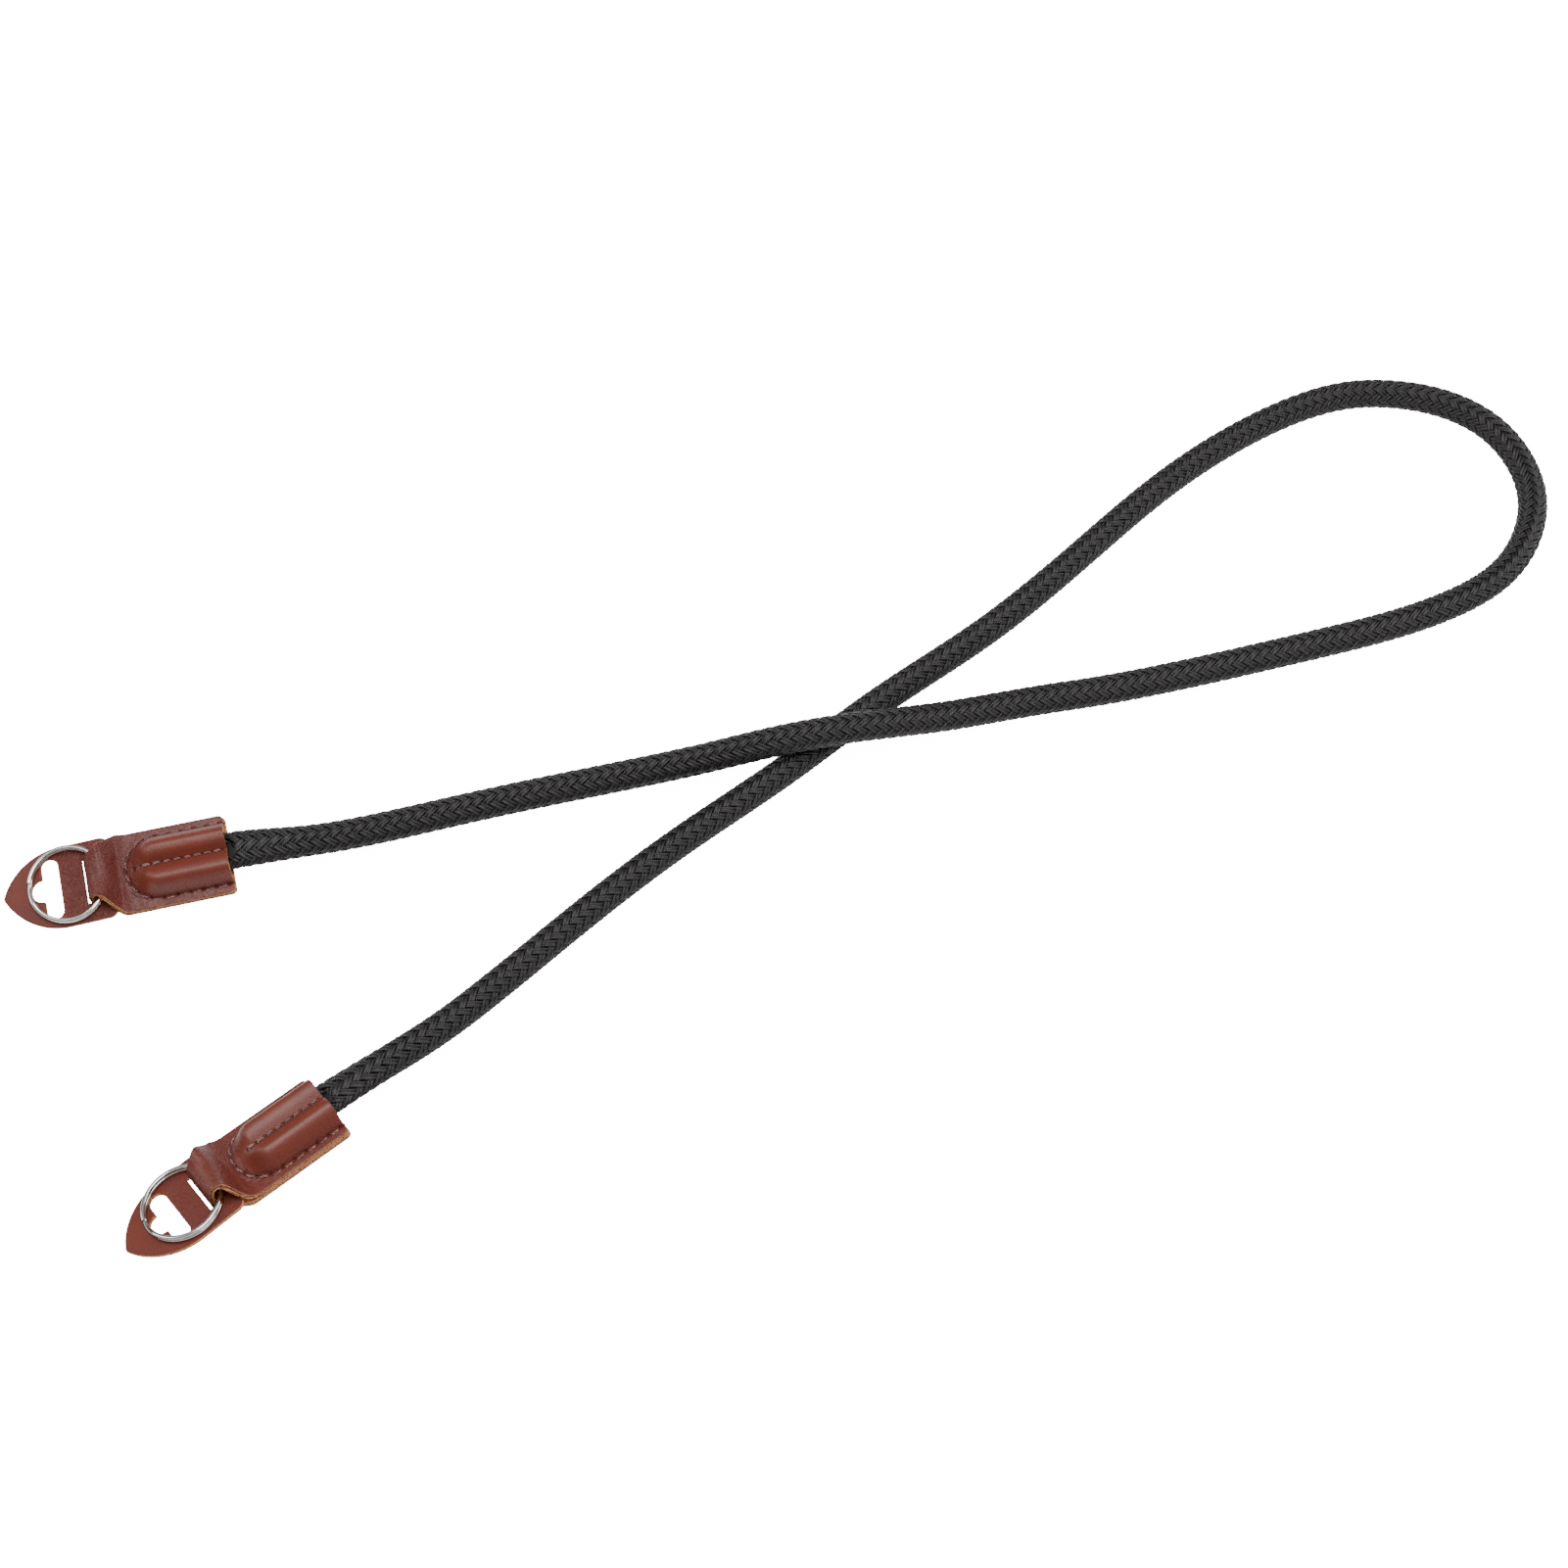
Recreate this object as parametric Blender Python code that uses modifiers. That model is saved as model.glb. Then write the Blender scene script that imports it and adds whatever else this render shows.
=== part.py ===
# Camera strap: a braided rope that crosses over itself in one long loop, with a
# folded leather tab, a split ring and a leaf-shaped leather guard at each end.
# Metres, +Z up. The strap lies on the floor, z = 0, and the origin is on the
# floor midway between the two ends.
import math

import bmesh
import bpy
import numpy as np
from mathutils import Euler, Matrix, Vector

# Clearance between pieces that touch on the real strap
GAP = 0.0003

# Rope
ROPE_DIAMETER = 0.0100
ROPE_STEP = 0.0170
ROPE_END_STEP = 0.0040
ROPE_END_CLEARANCE = 0.0043
ROPE_SIDE_CLEARANCE = 0.00205
ROPE_MOUTH_SPREAD = 1.25
ROPE_ROUNDS_OUT = 0.0300
ROPE_THINNEST = 0.0006

# Leather tab: one strip folded over the ring, its two layers stitched to the rope
LEATHER = 0.0017
TAB_WIDTH = 0.0256
TAB_LENGTH = 0.0441
LOWER_LAYER_EXTRA = 0.0005
TAB_CORNER = 0.0011
NECK_WIDTH = 0.0138
NECK_RUN = 0.0019
SHOULDER_LENGTH = 0.0102
FOLD_HEIGHT = 0.0102
FOLD_RADIUS = 0.0039
TONGUE_RADIUS = 0.0014
NECK_EDGE_RISE = 0.0013
FOLD_RUN = 0.0078
SEAM_INSET = 0.0122
SEAM_WIDTH = 0.0196
POCKET_HEIGHT = 0.0066
POCKET_VALLEY = 0.0026
VALLEY_HALF_WIDTH = 0.0026
VALLEY_START = 0.0030
VALLEY_FULL = 0.0090
VALLEY_CLEARANCE = 0.0015
MOUTH_SWELL = 0.0030

# Guard: a flat leaf of leather under the ring
GUARD_WALL = 0.0016
GUARD_WIDTH = 0.0263
GUARD_REACH = 0.0265
GUARD_TUCK = 0.0082
GUARD_STRAIGHT = 0.0070
GUARD_CORNER = 0.0030
SLOT_DISTANCE = 0.0084
SLOT_WIDTH = 0.0054
SLOT_LENGTH = 0.0196
NOTCH_RADIUS = 0.0036
NOTCH_LIP = 0.0002
SLIT_MARGIN = 0.0009

# Split ring: two turns of one flat wire
RING_DIAMETER = 0.0249
WIRE_WIDTH = 0.0013
WIRE_HEIGHT = 0.0011
WIRE_CHAMFER = 0.0003
COIL_GAP = 0.0002
RING_BEHIND_FOLD = 0.00095
RING_SEGMENTS = 40
JOG_ANGLE = math.radians(36)
JOG_PLACE = math.radians(184)

# Where the tab's cross sections lie, as shares of the named lengths: along the
# lower layer, the shoulders, the fold, either side of the seam and the pocket
LOWER_LAYER_ROWS = (0.66, 0.36)
SHOULDER_ROWS = (1.0, 0.72, 0.45)
FOLD_ROWS = (0.18, 0.42, 0.66)
SEAM_ROWS = (-0.70, 0.35)
POCKET_ROWS = (0.06, 0.105, 0.16, 0.23, 0.31, 0.42, 0.58, 0.74, 0.88)
# Lengthwise lines of the tab's mesh, as shares of half the seam's width. One more
# lies on each edge.
SEAM_COLUMNS = (0.0, 0.14, 0.30, 0.47, 0.64, 0.80, 0.93, 1.045)
BEND_STEPS = 4

# How each end lies on the floor: where the middle of its fold is, how far the
# tab is turned from +X, how far its mouth is raised and how far it is rolled
ENDS = {
    #          x        y        turn    raise   roll
    "upper": (-0.0320, +0.0508, 13.3, 0.0, 12.0),
    "lower": (+0.0158, -0.0539, 39.6, -1.0, -14.0),
}

# Middle line of the rope between the two tabs, from the upper tab to the lower
# one. It is lifted where it passes over itself and where it meets a tab.
ROUTE = [
    # x       y       z
    (0.0405, 0.0646, 0.0072),
    (0.0615, 0.0700, 0.0060),
    (0.0855, 0.0769, 0.0051),
    (0.1105, 0.0832, 0.0050),
    (0.1355, 0.0888, 0.0055),
    (0.1605, 0.0928, 0.0093),
    (0.1855, 0.0964, 0.0148),
    (0.2105, 0.1020, 0.0136),
    (0.2365, 0.1094, 0.0074),
    (0.2615, 0.1158, 0.0050),
    (0.2875, 0.1206, 0.0050),
    (0.3135, 0.1264, 0.0050),
    (0.3395, 0.1331, 0.0050),
    (0.3635, 0.1396, 0.0050),
    (0.3865, 0.1464, 0.0050),
    (0.4075, 0.1549, 0.0050),
    (0.4255, 0.1669, 0.0050),
    (0.4365, 0.1828, 0.0050),
    (0.4405, 0.2001, 0.0050),
    (0.4375, 0.2161, 0.0050),
    (0.4295, 0.2291, 0.0050),
    (0.4165, 0.2382, 0.0050),
    (0.4005, 0.2426, 0.0050),
    (0.3835, 0.2426, 0.0050),
    (0.3635, 0.2362, 0.0050),
    (0.3415, 0.2238, 0.0050),
    (0.3195, 0.2074, 0.0050),
    (0.2845, 0.1741, 0.0050),
    (0.2505, 0.1427, 0.0050),
    (0.2165, 0.1166, 0.0050),
    (0.1855, 0.0904, 0.0050),
    (0.1535, 0.0653, 0.0050),
    (0.1235, 0.0391, 0.0050),
    (0.0955, 0.0123, 0.0056),
    (0.0815, -0.0006, 0.0068),
    (0.0675, -0.0114, 0.0078),
]

RED_BROWN = (0.20, 0.055, 0.035, 1.0)
DARK_BROWN = (0.17, 0.045, 0.030, 1.0)
BLACK_CORD = (0.025, 0.023, 0.025, 1.0)
NICKEL = (0.70, 0.69, 0.67, 1.0)

half_leather = LEATHER / 2
pressed_height = LEATHER + GAP + half_leather
seam_half = SEAM_WIDTH / 2
seam_centre = SEAM_INSET + seam_half
rope_radius = ROPE_DIAMETER / 2
ring_radius = (RING_DIAMETER - WIRE_WIDTH) / 2
coil_pitch = WIRE_HEIGHT + COIL_GAP
guard_droop = math.atan2(LEATHER + GAP, GUARD_REACH)
pocket_floor = LEATHER + GAP
fold_centre = half_leather + FOLD_RADIUS
ring_seat = fold_centre + RING_BEHIND_FOLD
rope_end_inset = SEAM_INSET + ROPE_END_CLEARANCE
rope_spread = (seam_half - ROPE_SIDE_CLEARANCE) / rope_radius


def smooth(value, low, high):
    share = min(max((value - low) / (high - low), 0.0), 1.0)
    return share * share * (3 - 2 * share)


def clear_scene():
    for thing in list(bpy.data.objects):
        bpy.data.objects.remove(thing, do_unlink=True)


def make_material(name, colour, roughness, metallic):
    material = bpy.data.materials.new(name)
    material.use_nodes = True
    shader = material.node_tree.nodes["Principled BSDF"]
    shader.inputs["Base Color"].default_value = colour
    shader.inputs["Roughness"].default_value = roughness
    shader.inputs["Metallic"].default_value = metallic
    return material


def add_object(name, data, collection, material=None):
    thing = bpy.data.objects.new(name, data)
    collection.objects.link(thing)
    if material is not None:
        data.materials.append(material)
    return thing


def curve_to_mesh(curve_object, collection, material):
    """The curve as a closed mesh object of the same name, with its caps welded."""
    bpy.context.view_layer.update()
    evaluated = curve_object.evaluated_get(bpy.context.evaluated_depsgraph_get())
    mesh = bpy.data.meshes.new_from_object(evaluated)
    name = curve_object.name
    place = curve_object.matrix_world.copy()
    bpy.data.objects.remove(curve_object, do_unlink=True)
    body = bmesh.new()
    body.from_mesh(mesh)
    bmesh.ops.remove_doubles(body, verts=body.verts, dist=0.000001)
    bmesh.ops.recalc_face_normals(body, faces=body.faces)
    body.to_mesh(mesh)
    body.free()
    mesh.materials.clear()
    solid = add_object(name, mesh, collection, material)
    solid.matrix_world = place
    return solid


# The pose of an end

def end_matrix(name):
    x, y, turn, lift, roll = ENDS[name]
    rotation = Euler((math.radians(roll), -math.radians(lift), math.radians(turn))).to_matrix()
    lowest = 0.0
    for along in (0.0, TAB_LENGTH + LOWER_LAYER_EXTRA):
        for across in (-TAB_WIDTH / 2, TAB_WIDTH / 2):
            lowest = min(lowest, (rotation @ Vector((along, across, 0.0))).z)
    return Matrix.Translation((x, y, -lowest)) @ rotation.to_4x4()


# The leather tab, in the frame of its end: x from the fold to the mouth, y across

def tab_half_width(x):
    """Half the width of the strip: the neck, the shoulders and the rounded mouth corners."""
    straight = min(max((x - NECK_RUN) / (SHOULDER_LENGTH - NECK_RUN), 0.0), 1.0)
    share = (straight + smooth(x, NECK_RUN, SHOULDER_LENGTH)) / 2
    width = NECK_WIDTH + (TAB_WIDTH - NECK_WIDTH) * share
    past_corner = max(x - (TAB_LENGTH - TAB_CORNER / 2), 0.0)
    return width / 2 - min(past_corner, TAB_CORNER / 2)


def seam_depth(x, y):
    """How far a point is inside the U-shaped seam, negative outside it."""
    return seam_half - math.hypot(min(0.0, x - seam_centre), y)


def pocket_rise(x, y):
    """How far the pocket has risen at a point, from 0 on the seam to 1. It rises within
    half of the seam's half width at the sides, and more gently towards the closed end."""
    before = min(0.0, x - seam_centre)
    towards_end = (before / math.hypot(before, y)) ** 2 if before else 0.0
    run = seam_half / 2 * (1 + towards_end)
    depth = min(max(seam_depth(x, y) / run, 0.0), 1.0)
    steep = math.sin(depth * math.pi / 2)
    return steep + (smooth(depth, 0.0, 1.0) - steep) * towards_end / 2


def upper_layer_height(x, y):
    """Height of the middle of the upper layer of leather."""
    fold = FOLD_HEIGHT - half_leather - pressed_height
    fold_end = FOLD_RADIUS + FOLD_RUN
    over_ring = fold * (1 - smooth(x, FOLD_RADIUS + half_leather, fold_end))
    arch = NECK_EDGE_RISE * min(abs(y) / (NECK_WIDTH / 2), 1.3) ** 2
    arch *= 1 - smooth(x, FOLD_RADIUS, FOLD_RADIUS + FOLD_RUN / 2)
    arch *= smooth(x, half_leather, FOLD_RADIUS)
    risen = pocket_rise(x, y)
    ridge = POCKET_HEIGHT * risen
    valley = POCKET_VALLEY * risen * math.exp(-(y / VALLEY_HALF_WIDTH) ** 2)
    valley *= smooth(x, SEAM_INSET + VALLEY_START, SEAM_INSET + VALLEY_FULL)
    return pressed_height + over_ring + arch + ridge - valley


def upper_layer_underside(x, y):
    """Height of the lower face of the upper layer, allowing for its slope."""
    step = seam_half / 8
    height = upper_layer_height(x, y)
    slope_x = max(abs(upper_layer_height(x + way, y) - height) for way in (-step, step)) / step
    slope_y = max(abs(upper_layer_height(x, y + way) - height) for way in (-step, step)) / step
    drop = half_leather * math.sqrt(1 + slope_x ** 2 + slope_y ** 2)
    return height - drop


def tab_stations():
    """Middle line of the strip seen from the side, from the lower mouth round the
    fold to the upper mouth: x, height and whether the upper layer's form applies."""
    stations = []
    lower_length = TAB_LENGTH + LOWER_LAYER_EXTRA
    corner_x = half_leather + TONGUE_RADIUS
    flat = [lower_length, lower_length - TAB_CORNER]
    flat += [share * TAB_LENGTH for share in LOWER_LAYER_ROWS]
    flat += [share * SHOULDER_LENGTH for share in SHOULDER_ROWS]
    stations += [(x, half_leather, False) for x in flat]
    for step in range(BEND_STEPS + 1):
        angle = math.radians(90 * step / BEND_STEPS)
        x = corner_x - TONGUE_RADIUS * math.sin(angle)
        height = half_leather + TONGUE_RADIUS * (1 - math.cos(angle))
        stations.append((x, height, False))
    fold_z = FOLD_HEIGHT - half_leather - FOLD_RADIUS
    for step in range(BEND_STEPS + 1):
        angle = math.radians(90 * step / BEND_STEPS)
        x = fold_centre - FOLD_RADIUS * math.cos(angle)
        height = fold_z + FOLD_RADIUS * math.sin(angle)
        stations.append((x, height, False))
    places = [fold_centre + share * FOLD_RUN for share in FOLD_ROWS]
    places += [SEAM_INSET + share * LEATHER for share in SEAM_ROWS]
    places += [SEAM_INSET + share * (TAB_LENGTH - SEAM_INSET) for share in POCKET_ROWS]
    places += [TAB_LENGTH - TAB_CORNER, TAB_LENGTH]
    stations += [(x, None, True) for x in places]
    return stations


def tab_mesh(name):
    shares = [share * SEAM_WIDTH / TAB_WIDTH for share in SEAM_COLUMNS] + [1.0]
    columns = [-share for share in reversed(shares[1:])] + shares
    fold_top = FOLD_HEIGHT - half_leather
    rows = []
    for x, height, formed in tab_stations():
        half = tab_half_width(x)
        row = []
        for column in columns:
            y = column * half
            if formed:
                z = upper_layer_height(x, y)
            else:
                z = height
                rise = smooth(height, fold_top - FOLD_RADIUS, fold_top)
                z += rise * (upper_layer_height(fold_centre, y) - upper_layer_height(fold_centre, 0.0))
            row.append((x, y, z))
        rows.append(row)
    body = bmesh.new()
    grid = [[body.verts.new(point) for point in row] for row in rows]
    for lower, upper in zip(grid, grid[1:]):
        for column in range(len(columns) - 1):
            corners = (lower[column], lower[column + 1], upper[column + 1], upper[column])
            body.faces.new(corners)
    bmesh.ops.recalc_face_normals(body, faces=body.faces)
    mesh = bpy.data.meshes.new(name)
    body.to_mesh(mesh)
    body.free()
    return mesh


def make_tab(name, parent, collection, material):
    tab = add_object(name, tab_mesh(name), collection, material)
    tab.parent = parent
    wall = tab.modifiers.new("wall", "SOLIDIFY")
    wall.thickness = LEATHER
    wall.offset = 0.0
    wall.use_even_offset = True
    tab.data.shade_smooth()
    return tab


# The guard, in its own plane: x towards the mouth, y across

def arc_points(centre, radius, start, end, count):
    points = []
    for step in range(count + 1):
        angle = math.radians(start + (end - start) * step / count)
        points.append((centre[0] + radius * math.cos(angle), centre[1] + radius * math.sin(angle)))
    return points


def guard_outline():
    """A leaf with a pointed outer end, straight sides and rounded inner corners."""
    half = GUARD_WIDTH / 2
    taper = GUARD_REACH - GUARD_STRAIGHT
    bow = (taper ** 2 + half ** 2) / (2 * half)
    sweep = math.degrees(math.asin(taper / bow))
    upper = arc_points((-GUARD_STRAIGHT, half - bow), bow, 90 + sweep, 90, 12)
    inner_x = GUARD_TUCK - GUARD_CORNER
    inner_y = half - GUARD_CORNER
    upper += arc_points((inner_x, inner_y), GUARD_CORNER, 90, 0, 5)
    lower = [(x, -y) for x, y in reversed(upper[1:])]
    return upper + lower


def slot_outline():
    """A long slot across the leaf with a round notch towards the tip."""
    radius = SLOT_WIDTH / 2
    middle = -(SLOT_DISTANCE + radius)
    reach = SLOT_LENGTH / 2 - radius
    notch_x = middle - radius - NOTCH_LIP
    upper = arc_points((middle, reach), radius, 0, 180, 8)
    upper += [(middle - radius, NOTCH_RADIUS + NOTCH_LIP)]
    upper += arc_points((notch_x, 0.0), NOTCH_RADIUS, 90, 180, 5)
    lower = [(x, -y) for x, y in reversed(upper[:-1])]
    return upper + lower


def slit_outline():
    """The slit that the neck of the tab goes down through."""
    half = NECK_WIDTH / 2 + GAP
    near = LEATHER + 1.5 * GAP
    return [(-SLIT_MARGIN, -half), (near, -half), (near, half), (-SLIT_MARGIN, half)]


def make_guard(name, parent, collection, material):
    curve = bpy.data.curves.new(name, "CURVE")
    curve.dimensions = "2D"
    curve.fill_mode = "BOTH"
    curve.extrude = GUARD_WALL / 2
    for outline in (guard_outline(), slot_outline(), slit_outline()):
        spline = curve.splines.new("POLY")
        spline.points.add(len(outline) - 1)
        spline.use_cyclic_u = True
        for point, (x, y) in zip(spline.points, outline):
            point.co = (x, y, 0.0, 1.0)
    flat = add_object(name, curve, collection)
    guard = curve_to_mesh(flat, collection, material)
    guard.parent = parent
    guard.location = (0.0, 0.0, LEATHER + GAP + GUARD_WALL / 2)
    guard.rotation_euler = (0.0, -guard_droop, 0.0)
    return guard


# The split ring, turned about the middle of its wire inside the fold

def hinge_height():
    seat = LEATHER + GAP + GUARD_WALL + ring_seat * math.tan(guard_droop)
    return seat + GAP + (coil_pitch + WIRE_HEIGHT) / 2


def wire_section(guides):
    curve = bpy.data.curves.new("wire_section", "CURVE")
    curve.dimensions = "2D"
    wide = WIRE_WIDTH / 2
    high = WIRE_HEIGHT / 2
    cut = WIRE_CHAMFER
    outline = [(wide, high - cut), (wide - cut, high), (cut - wide, high), (-wide, high - cut)]
    outline += [(-x, -y) for x, y in outline]
    spline = curve.splines.new("POLY")
    spline.points.add(len(outline) - 1)
    spline.use_cyclic_u = True
    for point, (x, y) in zip(spline.points, outline):
        point.co = (x, y, 0.0, 1.0)
    section = add_object("wire_section", curve, guides)
    section.hide_render = True
    section.display_type = "WIRE"
    return section


def ring_points():
    """Two turns of wire that step from the lower level to the upper one at the jog."""
    points = []
    start = JOG_PLACE + JOG_ANGLE / 2
    end = JOG_PLACE - JOG_ANGLE / 2 + 4 * math.pi
    jog_start = JOG_PLACE - JOG_ANGLE / 2 + 2 * math.pi
    jog_end = jog_start + JOG_ANGLE
    count = round(RING_SEGMENTS * (end - start) / (2 * math.pi))
    for step in range(count + 1):
        angle = start + (end - start) * step / count
        level = smooth(angle, jog_start, jog_end) - 0.5
        x = ring_radius * (math.cos(angle) - 1)
        y = ring_radius * math.sin(angle)
        points.append((x, y, level * coil_pitch))
    return points


def make_ring(name, parent, section, collection, material):
    curve = bpy.data.curves.new(name, "CURVE")
    curve.dimensions = "3D"
    curve.twist_mode = "Z_UP"
    curve.bevel_mode = "OBJECT"
    curve.bevel_object = section
    curve.use_fill_caps = True
    spline = curve.splines.new("POLY")
    points = ring_points()
    spline.points.add(len(points) - 1)
    for point, place in zip(spline.points, points):
        point.co = (*place, 1.0)
    wire = add_object(name, curve, collection)
    ring = curve_to_mesh(wire, collection, material)
    ring.parent = parent
    ring.location = (ring_seat, 0.0, hinge_height())
    ring.rotation_euler = (0.0, -guard_droop, 0.0)
    return ring


# The rope

def smooth_curve(knots):
    """A natural cubic spline through the knots, as a function of distance along them."""
    knots = np.array(knots)
    spans = np.linalg.norm(np.diff(knots, axis=0), axis=1)
    at = np.concatenate(([0.0], np.cumsum(spans)))
    count = len(knots)
    matrix = np.eye(count)
    bends = np.zeros((count, 3))
    for i in range(1, count - 1):
        before = spans[i - 1]
        after = spans[i]
        matrix[i, i - 1:i + 2] = (before, 2 * (before + after), after)
        slopes = (knots[i + 1] - knots[i]) / after - (knots[i] - knots[i - 1]) / before
        bends[i] = 6 * slopes
    bends = np.linalg.solve(matrix, bends)

    def position(distance):
        i = int(np.clip(np.searchsorted(at, distance) - 1, 0, count - 2))
        span = spans[i]
        left = at[i + 1] - distance
        right = distance - at[i]
        cubic = (bends[i] * left ** 3 + bends[i + 1] * right ** 3) / (6 * span)
        line_left = (knots[i] / span - bends[i] * span / 6) * left
        line_right = (knots[i + 1] / span - bends[i + 1] * span / 6) * right
        return cubic + line_left + line_right

    return position, at[-1]


def mouth_ceiling():
    return upper_layer_underside(TAB_LENGTH, seam_half / 2) - GAP


def rope_knots():
    """The straight stretch inside each pocket and the route between the tabs."""
    middle = (pocket_floor + mouth_ceiling()) / 2
    inside = [rope_end_inset + share * (TAB_LENGTH - rope_end_inset) for share in (0.0, 0.5, 1.0)]
    first = [end_matrix("upper") @ Vector((x, 0.0, middle)) for x in inside]
    last = [end_matrix("lower") @ Vector((x, 0.0, middle)) for x in reversed(inside)]
    return [tuple(p) for p in first] + ROUTE + [tuple(p) for p in last]


def rope_path():
    """Points along the rope, close together in and near the pockets."""
    position, length = smooth_curve(rope_knots())
    near = TAB_LENGTH - rope_end_inset + 0.4 * ROPE_ROUNDS_OUT
    near_count = round(near / ROPE_END_STEP)
    far_count = round((length - 2 * near) / ROPE_STEP)
    places = [near * i / near_count for i in range(near_count)]
    places += [near + (length - 2 * near) * i / far_count for i in range(far_count)]
    places += [length - near + near * i / near_count for i in range(near_count + 1)]
    path = [Vector(position(place)) for place in places]
    for point in path:
        point.z = max(point.z, rope_radius)
    return path


def press_rope_end(mesh, path, end):
    """Flatten the rope's end so that it fits between the layers of the tab."""
    place = end_matrix(end)
    to_end = place.inverted()
    centres = [to_end @ point for point in path]
    for vertex in mesh.vertices:
        local = to_end @ vertex.co
        nearest = min(centres, key=lambda c: (c - local).length_squared)
        if nearest.x > TAB_LENGTH + ROPE_ROUNDS_OUT or abs(nearest.y) > TAB_WIDTH:
            continue
        side = local.y - nearest.y
        up = local.z - nearest.z
        outside = smooth(nearest.x, TAB_LENGTH, TAB_LENGTH + ROPE_ROUNDS_OUT)
        inside = 1 - smooth(nearest.x, rope_end_inset, TAB_LENGTH)
        spread = 1 + (ROPE_MOUTH_SPREAD - 1) * (1 - outside) + (rope_spread - ROPE_MOUTH_SPREAD) * inside
        held = 1 - smooth(nearest.x, TAB_LENGTH + 0.1 * ROPE_ROUNDS_OUT, TAB_LENGTH + ROPE_ROUNDS_OUT)
        y = nearest.y + side * spread
        ceiling = upper_layer_underside(min(local.x, TAB_LENGTH), y) - GAP
        ceiling -= VALLEY_CLEARANCE * math.exp(-(y / VALLEY_HALF_WIDTH) ** 2)
        ceiling = max(ceiling, pocket_floor + ROPE_THINNEST)
        ceiling += (mouth_ceiling() - ceiling) * smooth(local.x, TAB_LENGTH, TAB_LENGTH + MOUTH_SWELL)
        share = (up / rope_radius + 1) / 2
        pressed = pocket_floor + share * (ceiling - pocket_floor)
        z = (1 - held) * local.z + held * pressed
        vertex.co = place @ Vector((local.x, y, z))


def make_rope(collection, material):
    path = rope_path()
    curve = bpy.data.curves.new("rope", "CURVE")
    curve.dimensions = "3D"
    curve.twist_mode = "Z_UP"
    curve.bevel_depth = rope_radius
    curve.bevel_resolution = 4
    curve.use_fill_caps = True
    spline = curve.splines.new("POLY")
    spline.points.add(len(path) - 1)
    for point, place in zip(spline.points, path):
        point.co = (*place, 1.0)
    line = add_object("rope", curve, collection)
    rope = curve_to_mesh(line, collection, material)
    press_rope_end(rope.data, path, "upper")
    press_rope_end(rope.data, path, "lower")
    rope.data.shade_smooth()
    return rope


def main():
    clear_scene()
    scene = bpy.context.scene
    strap = bpy.data.collections.new("camera_strap")
    guides = bpy.data.collections.new("guides")
    scene.collection.children.link(strap)
    scene.collection.children.link(guides)
    make_rope(strap, make_material("rope", BLACK_CORD, 0.8, 0.0))
    section = wire_section(guides)
    for end in ENDS:
        pose = bpy.data.objects.new(end + "_end", None)
        guides.objects.link(pose)
        pose.matrix_world = end_matrix(end)
        make_tab(end + "_tab", pose, strap, make_material(end + "_tab", RED_BROWN, 0.5, 0.0))
        make_guard(end + "_guard", pose, strap, make_material(end + "_guard", DARK_BROWN, 0.55, 0.0))
        make_ring(end + "_ring", pose, section, strap, make_material(end + "_ring", NICKEL, 0.25, 1.0))


main()
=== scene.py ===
# Camera strap: the looks. A braided rope, two stitched leather tabs, two leather
# guards and two split rings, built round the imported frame. Metres, +Z up.
import math

import bmesh
import bpy
import numpy as np
from mathutils import Euler, Matrix, Vector, noise


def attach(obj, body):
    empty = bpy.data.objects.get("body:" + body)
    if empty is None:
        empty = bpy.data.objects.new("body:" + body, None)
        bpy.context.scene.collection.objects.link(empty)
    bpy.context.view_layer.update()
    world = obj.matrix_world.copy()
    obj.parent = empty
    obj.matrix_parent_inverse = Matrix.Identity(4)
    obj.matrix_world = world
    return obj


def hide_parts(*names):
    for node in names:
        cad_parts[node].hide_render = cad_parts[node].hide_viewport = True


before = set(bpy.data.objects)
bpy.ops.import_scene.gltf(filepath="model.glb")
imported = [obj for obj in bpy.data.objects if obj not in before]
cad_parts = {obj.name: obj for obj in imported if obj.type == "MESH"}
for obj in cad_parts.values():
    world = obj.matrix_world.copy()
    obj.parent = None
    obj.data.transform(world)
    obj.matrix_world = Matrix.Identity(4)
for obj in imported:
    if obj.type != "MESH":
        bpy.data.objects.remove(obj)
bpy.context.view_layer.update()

# Camera: where it looks, how far away it stands, how high, and the width of its view
CAMERA_TARGET = (0.1855, 0.0886, 0.0)
CAMERA_DISTANCE = 0.84
CAMERA_ELEVATION = math.radians(60)
CAMERA_HALF_VIEW = 0.30

# Leather of the tabs and their fold over the ring
LEATHER = 0.0017
LAYER_GAP = 0.0003
TAB_WIDTH = 0.0256
TAB_LENGTH = 0.0441
LOWER_LAYER_EXTRA = 0.0005
NECK_WIDTH = 0.0138
NECK_RUN = 0.0019
SHOULDER_LENGTH = 0.0102
FOLD_HEIGHT = 0.0102
FOLD_RADIUS = 0.0039
TONGUE_RADIUS = 0.0014
NECK_EDGE_RISE = 0.0013
# How many half widths of the neck from its middle its edges stop rising
ARCH_LIMIT = 1.3
FOLD_RUN = 0.0078
SEAM_INSET = 0.0122
SEAM_WIDTH = 0.0196
POCKET_HEIGHT = 0.0066
POCKET_VALLEY = 0.0026
VALLEY_HALF_WIDTH = 0.0026
VALLEY_START = 0.0030
VALLEY_FULL = 0.0090
VALLEY_CLEARANCE = 0.0015
MOUTH_SWELL = 0.0030
CORNER_RADIUS = 0.0016
EDGE_ROUNDING = 0.0003
EDGE_ROWS = 4
LAYERS_TOUCH = 0.00005
WRINKLE_HEIGHT = 0.00012
WRINKLE_SIZES = (0.0045, 0.0018)
FLAT_REACH = 0.002
FOOT_SOFTENING = 0.0027
PUCKER_HEIGHT = 0.00010
PUCKER_SIZE = 0.0011
PUCKER_REACH = 0.0016
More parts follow.
